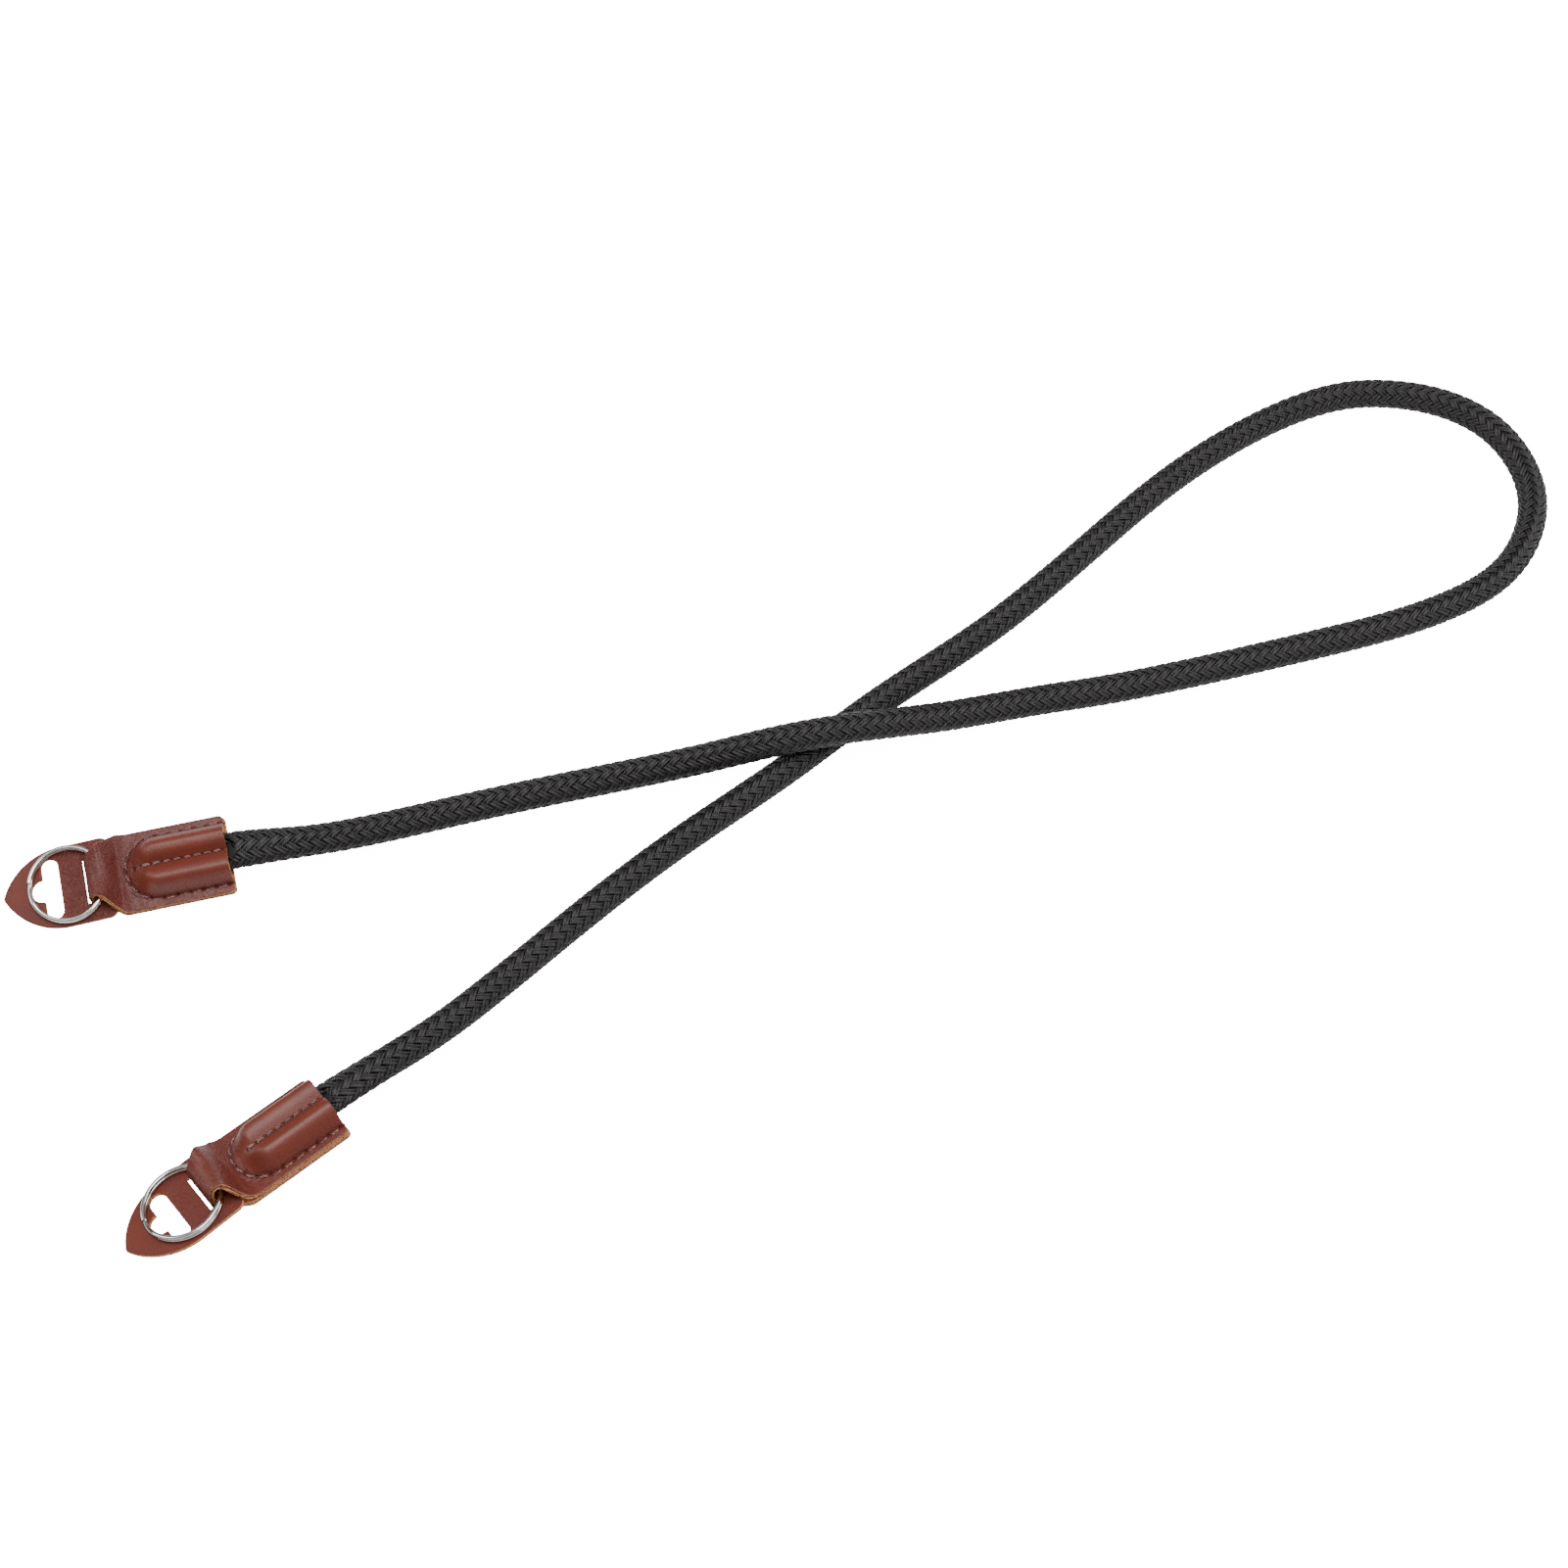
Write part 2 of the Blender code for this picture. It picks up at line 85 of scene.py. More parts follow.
LOWER_ROW_STEP = 0.0007
UPPER_ROW_STEP = 0.00034
TONGUE_ROWS = 8
FOLD_ROWS = 16
TAB_COLUMNS = 81
# How far each tab's skin is crushed into dark grain away from the pocket
CRUSHED = {"upper": 0.9, "lower": 0.35}
# Where the crushed skin behind the fold starts, is full, fades and is gone
NECK_GRAIN = (0.002, 0.006, 0.013, 0.019)
TAB_SEEDS = {"upper": 3.0, "lower": 11.0}

# Stitches
ROUND_SEAM_PITCH = 0.0040
CENTRE_SEAM_PITCH = 0.0032
STITCH_SHARE = 0.72
THREAD_DIAMETER = 0.0009
THREAD_SUNK = 0.00008
THREAD_RISE = 0.00030
GROOVE_DEPTH = 0.00022
GROOVE_HALF_WIDTH = 0.00075
# The centre seam's groove starts this far before its first stitch and is full this far past it
GROOVE_AHEAD = 0.0008
GROOVE_FULL = 0.0004
HOLE_DEPTH = 0.00050
HOLE_RADIUS = 0.00042
SEAM_END_INSET = 0.0014
CENTRE_SEAM_START = 0.0176
BACK_STITCH_RUN = 0.0040
BACK_STITCH_SHARES = (0.3, 1.1)
BACK_STITCH_OFFSET = 0.00042
AWL_HOLE_PLACE = 0.0152
AWL_HOLE_RADIUS = 0.00055
STITCH_SLANT = math.radians(5)
STITCH_UNEVENNESS = math.radians(4)
THREAD_POINTS = 13
THREAD_TWIST = math.radians(210)
PLY_OVERLAP = 1.15
SEAM_STEP = 0.0004
SEAM_TURN_POINTS = 90
POINTS_PER_STITCH = 6
SLOPE_STEP = 0.0001
FIRST_STITCH_SEED = 7

# Guard
GUARD_WALL = 0.0016
GUARD_WIDTH = 0.0263
GUARD_REACH = 0.0265
GUARD_TUCK = 0.0082
GUARD_STRAIGHT = 0.0070
GUARD_CORNER = 0.0030
SLOT_DISTANCE = 0.0084
SLOT_WIDTH = 0.0054
SLOT_LENGTH = 0.0196
NOTCH_RADIUS = 0.0036
NOTCH_LIP = 0.0002
SLIT_MARGIN = 0.0009
GUARD_ROUNDING = 0.00028
GUARD_CELL = 0.0010
GUARD_WARP = 0.00008
GUARD_WARP_SIZE = 0.009
GUARD_SEEDS = {"upper": 5.0, "lower": 17.0}
GUARD_SHARP = math.radians(50)
STRIP_FADE = 0.0015
STRIP_CRUSHING = 1.1
TIP_POINTS = 40
CORNER_POINTS = 14
SLOT_END_POINTS = 24
WELD = 0.000001

# Split ring
RING_DIAMETER = 0.0249
WIRE_WIDTH = 0.0013
WIRE_HEIGHT = 0.0011
COIL_GAP = 0.0002
WIRE_ROUNDING = 0.0005
WIRE_CORNER_POINTS = 4
RING_BEHIND_FOLD = 0.00095
RING_SEGMENTS = 96
RING_SHARP = math.radians(60)
JOG_ANGLE = math.radians(36)
JOG_PLACE = math.radians(184)

# Rope: its braid has STRANDS flat strands each way, each of YARNS yarns side by side
ROPE_DIAMETER = 0.0100
ROPE_END_CLEARANCE = 0.0043
ROPE_SIDE_CLEARANCE = 0.00205
ROPE_MOUTH_SPREAD = 1.25
ROPE_ROUNDS_OUT = 0.0300
ROPE_THINNEST = 0.0006
STRANDS = 10
YARNS = 2
LAY_LENGTH = 0.038
STRAND_WIDTH = 0.00232
YARN_RISE = 0.00040
WEAVE_HEIGHT = 0.00030
BRAID_STEP = 0.00092
CORE_DIAMETER = 0.0082
CORE_SIDES = 16
CORE_STEP = 0.003
PATH_STEP = 0.001

# Colours of the leather, the rope, the rings, the thread and the floor
RED_BROWN = (0.140, 0.024, 0.011, 1.0)
WINE_BROWN = (0.110, 0.020, 0.014, 1.0)
PORE_BROWN = (0.030, 0.008, 0.007, 1.0)
# Painted shade: near-black brown laid into the stitch holes and the awl hole
HOLE_SHADE_BROWN = (0.010, 0.003, 0.003, 1.0)
RAW_TAN = (0.620, 0.250, 0.095, 1.0)
BURNT_TAN = (0.150, 0.032, 0.012, 1.0)
CHARCOAL = (0.0040, 0.0040, 0.0047, 1.0)
PLUM_BLACK = (0.0085, 0.0052, 0.0062, 1.0)
WORN_GREY = (0.045, 0.043, 0.046, 1.0)
CORE_BLACK = (0.008, 0.008, 0.009, 1.0)
CORE_GREY = (0.02, 0.02, 0.021, 1.0)
BRIGHT_NICKEL = (0.80, 0.78, 0.75, 1.0)
DULL_NICKEL = (0.50, 0.48, 0.46, 1.0)
MAUVE = (0.240, 0.100, 0.095, 1.0)
DARK_MAUVE = (0.035, 0.012, 0.012, 1.0)
PAPER = (0.92, 0.92, 0.92, 1.0)
WHITE = (1.0, 1.0, 1.0, 1.0)

# Surfaces: the leather's grain, creases and clouds, and how steeply a yarn is twisted. For
# each kind of leather: its name, the depth of its grain, its roughness and its polish
GRAIN_SIZE = 0.00062
CREASE_SIZE = 0.0045
SKIN_CLOUD = 0.011
PLY_TWIST = 0.45
TAB_FINISH = ("red-brown tab leather", 0.00045, 0.42, 0.25)
GUARD_FINISH = ("red-brown guard leather", 0.00040, 0.48, 0.03)

# Studio: the sky's strength at the horizon and overhead, how much whiter the floor and the
# backdrop look than the light makes them, and each soft light's place, size and power
SKY_HORIZON = 0.10
SKY_ZENITH = 0.60
WHITE_GLOW = 15.0
FLOOR_SIZE = 8.0
LIGHTS = [
    # name       place                size         power
    ("top light", (0.12, 0.02, 0.90), (0.8, 0.5), 9.0),
    ("left light", (-0.75, 0.20, 0.60), (0.5, 0.6), 3.0),
    ("right light", (0.95, 0.30, 0.60), (0.5, 0.6), 5.0),
]

# How each end lies on the floor: where the middle of its fold is, how far the tab is
# turned from +X, how far its mouth is raised and how far it is rolled, in degrees
ENDS = {
    #          x        y        turn    raise   roll
    "upper": (-0.0320, +0.0508, 13.3, 0.0, 12.0),
    "lower": (+0.0158, -0.0539, 39.6, -1.0, -14.0),
}

# Middle line of the rope between the two tabs, from the upper tab to the lower one
ROUTE = [
    # x       y       z
    (0.0405, 0.0646, 0.0072),
    (0.0615, 0.0700, 0.0060),
    (0.0855, 0.0769, 0.0051),
    (0.1105, 0.0832, 0.0050),
    (0.1355, 0.0888, 0.0055),
    (0.1605, 0.0928, 0.0093),
    (0.1855, 0.0964, 0.0148),
    (0.2105, 0.1020, 0.0136),
    (0.2365, 0.1094, 0.0074),
    (0.2615, 0.1158, 0.0050),
    (0.2875, 0.1206, 0.0050),
    (0.3135, 0.1264, 0.0050),
    (0.3395, 0.1331, 0.0050),
    (0.3635, 0.1396, 0.0050),
    (0.3865, 0.1464, 0.0050),
    (0.4075, 0.1549, 0.0050),
    (0.4255, 0.1669, 0.0050),
    (0.4365, 0.1828, 0.0050),
    (0.4405, 0.2001, 0.0050),
    (0.4375, 0.2161, 0.0050),
    (0.4295, 0.2291, 0.0050),
    (0.4165, 0.2382, 0.0050),
    (0.4005, 0.2426, 0.0050),
    (0.3835, 0.2426, 0.0050),
    (0.3635, 0.2362, 0.0050),
    (0.3415, 0.2238, 0.0050),
    (0.3195, 0.2074, 0.0050),
    (0.2845, 0.1741, 0.0050),
    (0.2505, 0.1427, 0.0050),
    (0.2165, 0.1166, 0.0050),
    (0.1855, 0.0904, 0.0050),
    (0.1535, 0.0653, 0.0050),
    (0.1235, 0.0391, 0.0050),
    (0.0955, 0.0123, 0.0056),
    (0.0815, -0.0006, 0.0068),
    (0.0675, -0.0114, 0.0078),
]

half_leather = LEATHER / 2
pressed_height = LEATHER + LAYER_GAP + half_leather
seam_half = SEAM_WIDTH / 2
seam_centre = SEAM_INSET + seam_half
rope_radius = ROPE_DIAMETER / 2
ring_radius = (RING_DIAMETER - WIRE_WIDTH) / 2
coil_pitch = WIRE_HEIGHT + COIL_GAP
guard_droop = math.atan2(LEATHER + LAYER_GAP, GUARD_REACH)
pocket_floor = LEATHER + LAYER_GAP
fold_centre = half_leather + FOLD_RADIUS
ring_seat = fold_centre + RING_BEHIND_FOLD
rope_end_inset = SEAM_INSET + ROPE_END_CLEARANCE
rope_spread = (seam_half - ROPE_SIDE_CLEARANCE) / rope_radius
# Keeps a division from zero on a seam's own centre
SMALL = 1e-9


def smooth(value, low, high):
    share = np.clip((value - low) / (high - low), 0.0, 1.0)
    return share * share * (3 - 2 * share)


# Camera

def place_camera():
    camera = bpy.data.cameras.new("camera")
    camera.sensor_fit = "HORIZONTAL"
    camera.angle = 2 * math.atan(CAMERA_HALF_VIEW)
    camera.clip_start = 0.01
    stand = bpy.data.objects.new("camera", camera)
    bpy.context.scene.collection.objects.link(stand)
    back = Vector((0.0, -math.cos(CAMERA_ELEVATION), math.sin(CAMERA_ELEVATION)))
    stand.location = Vector(CAMERA_TARGET) + CAMERA_DISTANCE * back
    stand.rotation_euler = (math.pi / 2 - CAMERA_ELEVATION, 0.0, 0.0)
    bpy.context.scene.camera = stand


place_camera()


# Node trees

def set_inputs(tree, node, values):
    """Sets a node's inputs to values, or links them to sockets."""
    for name, value in values.items():
        if isinstance(value, bpy.types.NodeSocket):
            tree.links.new(value, node.inputs[name])
        else:
            node.inputs[name].default_value = value


def add_node(tree, kind, inputs=None, **settings):
    node = tree.nodes.new(kind)
    for name, value in settings.items():
        setattr(node, name, value)
    set_inputs(tree, node, inputs or {})
    return node


def number(tree, operation, first, second=0.0, third=0.0):
    inputs = {0: first, 1: second, 2: third}
    return add_node(tree, "ShaderNodeMath", inputs, operation=operation).outputs[0]


def vector(tree, operation, first, second=None, scale=None):
    inputs = {0: first}
    if second is not None:
        inputs[1] = second
    if scale is not None:
        inputs["Scale"] = scale
    return add_node(tree, "ShaderNodeVectorMath", inputs, operation=operation).outputs["Vector"]


def remap(tree, value, ends, result=(0.0, 1.0), **settings):
    """Lays out a value between two results as it goes from one end to the other."""
    inputs = {"Value": value, "From Min": ends[0], "From Max": ends[1],
              "To Min": result[0], "To Max": result[1]}
    return add_node(tree, "ShaderNodeMapRange", inputs, **settings).outputs[0]


def mix_colour(tree, share, first, second):
    node = add_node(tree, "ShaderNodeMix", {"Factor": share, "A": first, "B": second}, data_type="RGBA")
    return node.outputs["Result"]


def mix_number(tree, share, first, second):
    node = add_node(tree, "ShaderNodeMix", {"Factor": share, "A": first, "B": second}, data_type="FLOAT")
    return node.outputs["Result"]


def noise_texture(tree, place, scale, detail, distortion=0.0):
    inputs = {"Vector": place, "Scale": scale, "Detail": detail, "Distortion": distortion}
    return add_node(tree, "ShaderNodeTexNoise", inputs).outputs


def new_tree(name, sockets):
    """A Geometry Nodes tree with a geometry in and out and the named inputs."""
    tree = bpy.data.node_groups.new(name, "GeometryNodeTree")
    tree.interface.new_socket("Geometry", in_out="INPUT", socket_type="NodeSocketGeometry")
    for label, kind in sockets:
        tree.interface.new_socket(label, in_out="INPUT", socket_type="NodeSocket" + kind)
    tree.interface.new_socket("Geometry", in_out="OUTPUT", socket_type="NodeSocketGeometry")
    return tree, add_node(tree, "NodeGroupInput").outputs


def finish_tree(tree, geometry, finish):
    whole = add_node(tree, "GeometryNodeRealizeInstances", {"Geometry": geometry}).outputs[0]
    painted = add_node(tree, "GeometryNodeSetMaterial", {"Geometry": whole, "Material": finish})
    add_node(tree, "NodeGroupOutput", {"Geometry": painted.outputs[0]})


def keep_attribute(tree, geometry, name, value, data_type="FLOAT", domain="POINT"):
    inputs = {"Geometry": geometry, "Name": name, "Value": value}
    node = add_node(tree, "GeometryNodeStoreNamedAttribute", inputs, data_type=data_type, domain=domain)
    return node.outputs["Geometry"]


def read_attribute(tree, name, data_type="FLOAT"):
    node = add_node(tree, "GeometryNodeInputNamedAttribute", {"Name": name}, data_type=data_type)
    return node.outputs[0]


# Objects and meshes

def new_object(name, data):
    thing = bpy.data.objects.new(name, data)
    bpy.context.scene.collection.objects.link(thing)
    return thing


def discard(thing):
    bpy.data.objects.remove(thing, do_unlink=True)


def final_mesh(thing):
    """The plain mesh that an object's modifiers or bevels make."""
    bpy.context.view_layer.update()
    evaluated = thing.evaluated_get(bpy.context.evaluated_depsgraph_get())
    return bpy.data.meshes.new_from_object(evaluated)


def grow(name, base, tree, values):
    """Runs a Geometry Nodes tree on a base object and keeps the result as a plain mesh."""
    modifier = base.modifiers.new("grow", "NODES")
    modifier.node_group = tree
    for item in tree.interface.items_tree:
        if item.item_type == "SOCKET" and item.in_out == "INPUT" and item.name in values:
            modifier[item.identifier] = values[item.name]
    mesh = final_mesh(base)
    base.modifiers.remove(modifier)
    mesh.name = name
    return new_object(name, mesh)


def new_curve(name, dimensions, lines, cyclic):
    """A curve with a spline of straight pieces through each line of points."""
    curve = bpy.data.curves.new(name, "CURVE")
    curve.dimensions = dimensions
    for line in lines:
        spline = curve.splines.new("POLY")
        spline.points.add(len(line) - 1)
        spline.use_cyclic_u = cyclic
        for point, place in zip(spline.points, line):
            point.co = (*place, 1.0)
    return new_object(name, curve)


def polyline(name, points, cyclic=False):
    return new_curve(name, "3D", [points], cyclic)


def vertex_places(mesh):
    places = np.empty(len(mesh.vertices) * 3)
    mesh.vertices.foreach_get("co", places)
    return places.reshape(-1, 3)


def set_vertex_places(mesh, places):
    mesh.vertices.foreach_set("co", np.asarray(places, float).ravel())
    mesh.update()


def set_mask(mesh, name, values):
    mesh.attributes.new(name, "FLOAT", "POINT").data.foreach_set("value", values)


def distances(points):
    """How far along a line each of its points is."""
    spans = np.linalg.norm(np.diff(points, axis=0), axis=1)
    return np.concatenate(([0.0], np.cumsum(spans)))


# Finishes

def new_finish(name):
    """A material, its tree, its shader and the place on the object."""
    finish = bpy.data.materials.new(name)
    finish.use_nodes = True
    tree = finish.node_tree
    place = add_node(tree, "ShaderNodeTexCoord").outputs["Object"]
    return finish, tree, tree.nodes["Principled BSDF"], place


def add_bump(tree, shader, height, strength, distance):
    inputs = {"Height": height, "Strength": strength, "Distance": distance}
    tree.links.new(add_node(tree, "ShaderNodeBump", inputs).outputs[0], shader.inputs["Normal"])


def shader_group(name, inputs, outputs):
    tree = bpy.data.node_groups.new(name, "ShaderNodeTree")
    for label, kind, value in inputs:
        socket = tree.interface.new_socket(label, in_out="INPUT", socket_type="NodeSocket" + kind)
        if value is not None:
            socket.default_value = value
    for label, kind in outputs:
        tree.interface.new_socket(label, in_out="OUTPUT", socket_type="NodeSocket" + kind)
    return tree, add_node(tree, "NodeGroupInput").outputs, add_node(tree, "NodeGroupOutput")


def leather_grain_group():
    """Fine pebbled grain with pores, and soft creases that come and go."""
    inputs = [("Place", "Vector", None), ("Grain Size", "Float", 0.0006), ("Crease Size", "Float", 0.005)]
    tree, given, result = shader_group("leather grain", inputs, [("Height", "Float"), ("Pores", "Float")])
    scale = number(tree, "DIVIDE", 1.0, given["Grain Size"])
    warp = noise_texture(tree, given["Place"], 900.0, 2.0)["Color"]
    place = vector(tree, "ADD", given["Place"], vector(tree, "SCALE", warp, scale=0.0003))
    cells = add_node(tree, "ShaderNodeTexVoronoi", {"Vector": place, "Scale": scale}, feature="SMOOTH_F1")
    pebbles = number(tree, "SUBTRACT", 1.0, cells.outputs["Distance"])
    crease_scale = number(tree, "DIVIDE", 1.0, given["Crease Size"])
    creases = noise_texture(tree, given["Place"], crease_scale, 5.0, distortion=1.2)["Fac"]
    folds = number(tree, "ABSOLUTE", number(tree, "SUBTRACT", creases, 0.5))
    height = number(tree, "MULTIPLY_ADD", remap(tree, folds, (0.0, 0.05)), 0.25, pebbles)
    pores = remap(tree, cells.outputs["Distance"], (0.45, 0.8))
    set_inputs(tree, result, {"Height": height, "Pores": pores})
    return tree


def mottle_group():
    """Cloudy change between two colours, with a finer speckle on it."""
    inputs = [("Place", "Vector", None), ("Size", "Float", 0.01),
              ("Light Colour", "Color", None), ("Dark Colour", "Color", None)]
    tree, given, result = shader_group("mottle", inputs, [("Colour", "Color"), ("Cloud", "Float")])
    scale = number(tree, "DIVIDE", 1.0, given["Size"])
    cloud = noise_texture(tree, given["Place"], scale, 4.0)["Fac"]
    fine = noise_texture(tree, given["Place"], number(tree, "MULTIPLY", scale, 14.0), 2.0)["Fac"]
    both = number(tree, "MULTIPLY_ADD", fine, 0.35, cloud)
    colour = mix_colour(tree, remap(tree, both, (0.45, 0.9)), given["Light Colour"], given["Dark Colour"])
    set_inputs(tree, result, {"Colour": colour, "Cloud": cloud})
    return tree


def fibre_group():
    """Fine hairs drawn out along one direction of the given place."""
    inputs = [("Place", "Vector", None), ("Stretch", "Vector", (1.0, 1.0, 1.0)),
              ("Fineness", "Float", 3000.0)]
    tree, given, result = shader_group("fibres", inputs, [("Height", "Float"), ("Mask", "Float")])
    place = vector(tree, "MULTIPLY", given["Place"], given["Stretch"])
    hairs = noise_texture(tree, place, given["Fineness"], 4.0)["Fac"]
    set_inputs(tree, result, {"Height": hairs, "Mask": remap(tree, hairs, (0.52, 0.72))})
    return tree


GRAIN = leather_grain_group()
MOTTLE = mottle_group()
FIBRES = fibre_group()


def use_group(tree, group, inputs):
    return add_node(tree, "ShaderNodeGroup", inputs, node_tree=group).outputs


def mottle(tree, place, size, light, dark):
    return use_group(tree, MOTTLE, {"Place": place, "Size": size, "Light Colour": light, "Dark Colour": dark})


def leather_finish(name, grain_depth, roughness, coat):
    """Grained leather, with raw tan wherever the surface is cut or the flesh side shows, and painted shade
    darkening the stitch holes.
    """
    finish, tree, shader, place = new_finish(name)
    raw, crushed, pierced_hole_shade = [
        add_node(tree, "ShaderNodeAttribute", attribute_name=mask).outputs["Fac"]
        for mask in ("raw", "crushed", "pierced_hole_shade")]
    grain = use_group(tree, GRAIN, {"Place": place, "Grain Size": GRAIN_SIZE, "Crease Size": CREASE_SIZE})
    skin = mottle(tree, place, SKIN_CLOUD, RED_BROWN, WINE_BROWN)
    darker = mix_colour(tree, crushed, skin["Colour"], WINE_BROWN)
    pore_share = number(tree, "MULTIPLY", grain["Pores"], mix_number(tree, crushed, 0.08, 0.5))
    pored = mix_colour(tree, pore_share, darker, PORE_BROWN)
    # Painted shade: the leather at the stitch holes and the awl hole is darkened to near black
    skin_with_hole_shade = mix_colour(tree, pierced_hole_shade, pored, HOLE_SHADE_BROWN)
    hairs = use_group(tree, FIBRES, {"Place": place, "Fineness": 1500.0})
    raw_colour = mix_colour(tree, hairs["Mask"], RAW_TAN, BURNT_TAN)
    cloudy = remap(tree, skin["Cloud"], (0.0, 1.0), (roughness - 0.06, roughness + 0.10))
    rough = mix_number(tree, crushed, cloudy, roughness + 0.02)
    skin_height = number(tree, "MULTIPLY", grain["Height"], mix_number(tree, crushed, 0.15, 1.0))
    height = mix_number(tree, raw, skin_height, number(tree, "MULTIPLY", hairs["Height"], 2.0))
    add_bump(tree, shader, height, 1.0, grain_depth)
    set_inputs(tree, shader, {
        "Base Color": mix_colour(tree, raw, skin_with_hole_shade, raw_colour),
        "Roughness": mix_number(tree, raw, rough, 0.85),
        "Specular IOR Level": 0.27, "Coat Weight": coat, "Coat Roughness": 0.36})
    return finish


def braid_finish():
    """Charcoal yarns, each twisted from fine fibres, with paler worn crowns."""
    finish, tree, shader, place = new_finish("charcoal braid")
    lay = add_node(tree, "ShaderNodeUVMap", uv_map="braid_lay").outputs["UV"]
    split = add_node(tree, "ShaderNodeSeparateXYZ", {"Vector": lay})
    slant = number(tree, "MULTIPLY_ADD", split.outputs["X"], 0.9, split.outputs["Y"])
    along = add_node(tree, "ShaderNodeCombineXYZ", {"X": slant}).outputs[0]
    # A wave texture repeats each 0.314 of its scaled place
    twist_scale = 0.314 / (PLY_TWIST * STRAND_WIDTH / YARNS)
    wave = {"Vector": along, "Scale": twist_scale, "Distortion": 1.5, "Detail": 1.0, "Detail Scale": 400.0}
    twist = add_node(tree, "ShaderNodeTexWave", wave, bands_direction="X").outputs["Fac"]
    hairs = use_group(tree, FIBRES, {"Place": lay, "Stretch": (3.0, 0.4, 1.0), "Fineness": 2500.0})
    tint = mottle(tree, place, 0.012, CHARCOAL, PLUM_BLACK)
    worn = number(tree, "MULTIPLY", hairs["Mask"], 0.45)
    add_bump(tree, shader, number(tree, "MULTIPLY_ADD", hairs["Height"], 0.6, twist), 0.7, 0.00009)
    set_inputs(tree, shader, {
        "Base Color": mix_colour(tree, worn, tint["Colour"], WORN_GREY),
        "Roughness": 0.30, "Specular IOR Level": 0.42})
    return finish


def core_finish():
    finish, tree, shader, place = new_finish("dark core")
    hairs = use_group(tree, FIBRES, {"Place": place, "Fineness": 2500.0})
    colour = mix_colour(tree, hairs["Mask"], CORE_BLACK, CORE_GREY)
    set_inputs(tree, shader, {"Base Color": colour, "Roughness": 0.9})
    return finish


def nickel_finish():
    """Polished nickel wire with drawn lines and faint wear."""
    finish, tree, shader, place = new_finish("nickel wire")
    tone = mottle(tree, place, 0.004, BRIGHT_NICKEL, DULL_NICKEL)
    add_bump(tree, shader, noise_texture(tree, place, 2600.0, 3.0)["Fac"], 0.25, 0.00002)
    set_inputs(tree, shader, {
        "Base Color": tone["Colour"], "Metallic": 1.0,
        "Roughness": remap(tree, tone["Cloud"], (0.0, 1.0), (0.04, 0.16))})
    return finish


def thread_finish():
    finish, tree, shader, place = new_finish("waxed thread")
    tone = mottle(tree, place, 0.0016, MAUVE, DARK_MAUVE)
    hairs = use_group(tree, FIBRES, {"Place": place, "Fineness": 4000.0})
    add_bump(tree, shader, hairs["Height"], 0.4, 0.00004)
    set_inputs(tree, shader, {
        "Base Color": tone["Colour"], "Roughness": 0.26, "Coat Weight": 0.7, "Coat Roughness": 0.15})
    return finish


def paper_finish():
    """White paper, lit up where the camera sees it so that almost no shadow is left."""
    finish, tree, shader, place = new_finish("white paper")
    add_bump(tree, shader, noise_texture(tree, place, 400.0, 3.0)["Fac"], 0.02, 0.0001)
    seen = add_node(tree, "ShaderNodeLightPath").outputs["Is Camera Ray"]
    set_inputs(tree, shader, {
        "Base Color": PAPER, "Roughness": 0.9, "Specular IOR Level": 0.1, "Emission Color": WHITE,
        "Emission Strength": number(tree, "MULTIPLY", seen, WHITE_GLOW)})
    return finish


# The pose of an end, and the form of its folded tab. In an end's own frame x runs
# from the fold to the mouth, y across and z up.

def end_matrix(name):
    x, y, turn, lift, roll = ENDS[name]
    rotation = Euler((math.radians(roll), -math.radians(lift), math.radians(turn))).to_matrix()
    lowest = 0.0
    for along in (0.0, TAB_LENGTH + LOWER_LAYER_EXTRA):
        for across in (-TAB_WIDTH / 2, TAB_WIDTH / 2):
            lowest = min(lowest, (rotation @ Vector((along, across, 0.0))).z)
    return Matrix.Translation((x, y, -lowest)) @ rotation.to_4x4()


def moved(places, matrix):
    matrix = np.array(matrix)
    return np.asarray(places) @ matrix[:3, :3].T + matrix[:3, 3]


def to_world(name, places):
    return moved(places, end_matrix(name))


def to_end(name, places):
    return moved(places, end_matrix(name).inverted())


def tab_half_width(x):
    straight = np.clip((x - NECK_RUN) / (SHOULDER_LENGTH - NECK_RUN), 0.0, 1.0)
    share = (straight + smooth(x, NECK_RUN, SHOULDER_LENGTH)) / 2
    return (NECK_WIDTH + (TAB_WIDTH - NECK_WIDTH) * share) / 2


def seam_depth(x, y):
    """How far a point is inside the U-shaped seam, negative outside it."""
    return seam_half - np.hypot(np.minimum(0.0, x - seam_centre), y)


def pocket_rise(x, y):
    """How far the pocket has risen, from 0 on the seam to 1: steeply at the sides, and
    more gently towards the closed end."""
    before = np.minimum(0.0, x - seam_centre)
    towards_end = (before / np.maximum(np.hypot(before, y), SMALL)) ** 2
    depth = np.clip(seam_depth(x, y) / (seam_half / 2 * (1 + towards_end)), 0.0, 1.0)
    steep = np.sin(depth * math.pi / 2)
    return steep + (smooth(depth, 0.0, 1.0) - steep) * towards_end / 2


def upper_layer_height(x, y):
    """Height of the middle of the upper layer of leather."""
    fold = FOLD_HEIGHT - half_leather - pressed_height
    over_ring = fold * (1 - smooth(x, FOLD_RADIUS + half_leather, FOLD_RADIUS + FOLD_RUN))
    arch = NECK_EDGE_RISE * np.minimum(np.abs(y) / (NECK_WIDTH / 2), ARCH_LIMIT) ** 2
    arch = arch * (1 - smooth(x, FOLD_RADIUS, FOLD_RADIUS + FOLD_RUN / 2))
    arch = arch * smooth(x, half_leather, FOLD_RADIUS)
    risen = pocket_rise(x, y)
    valley = POCKET_VALLEY * risen * np.exp(-(y / VALLEY_HALF_WIDTH) ** 2)
    valley = valley * smooth(x, SEAM_INSET + VALLEY_START, SEAM_INSET + VALLEY_FULL)
    return pressed_height + over_ring + arch + POCKET_HEIGHT * risen - valley


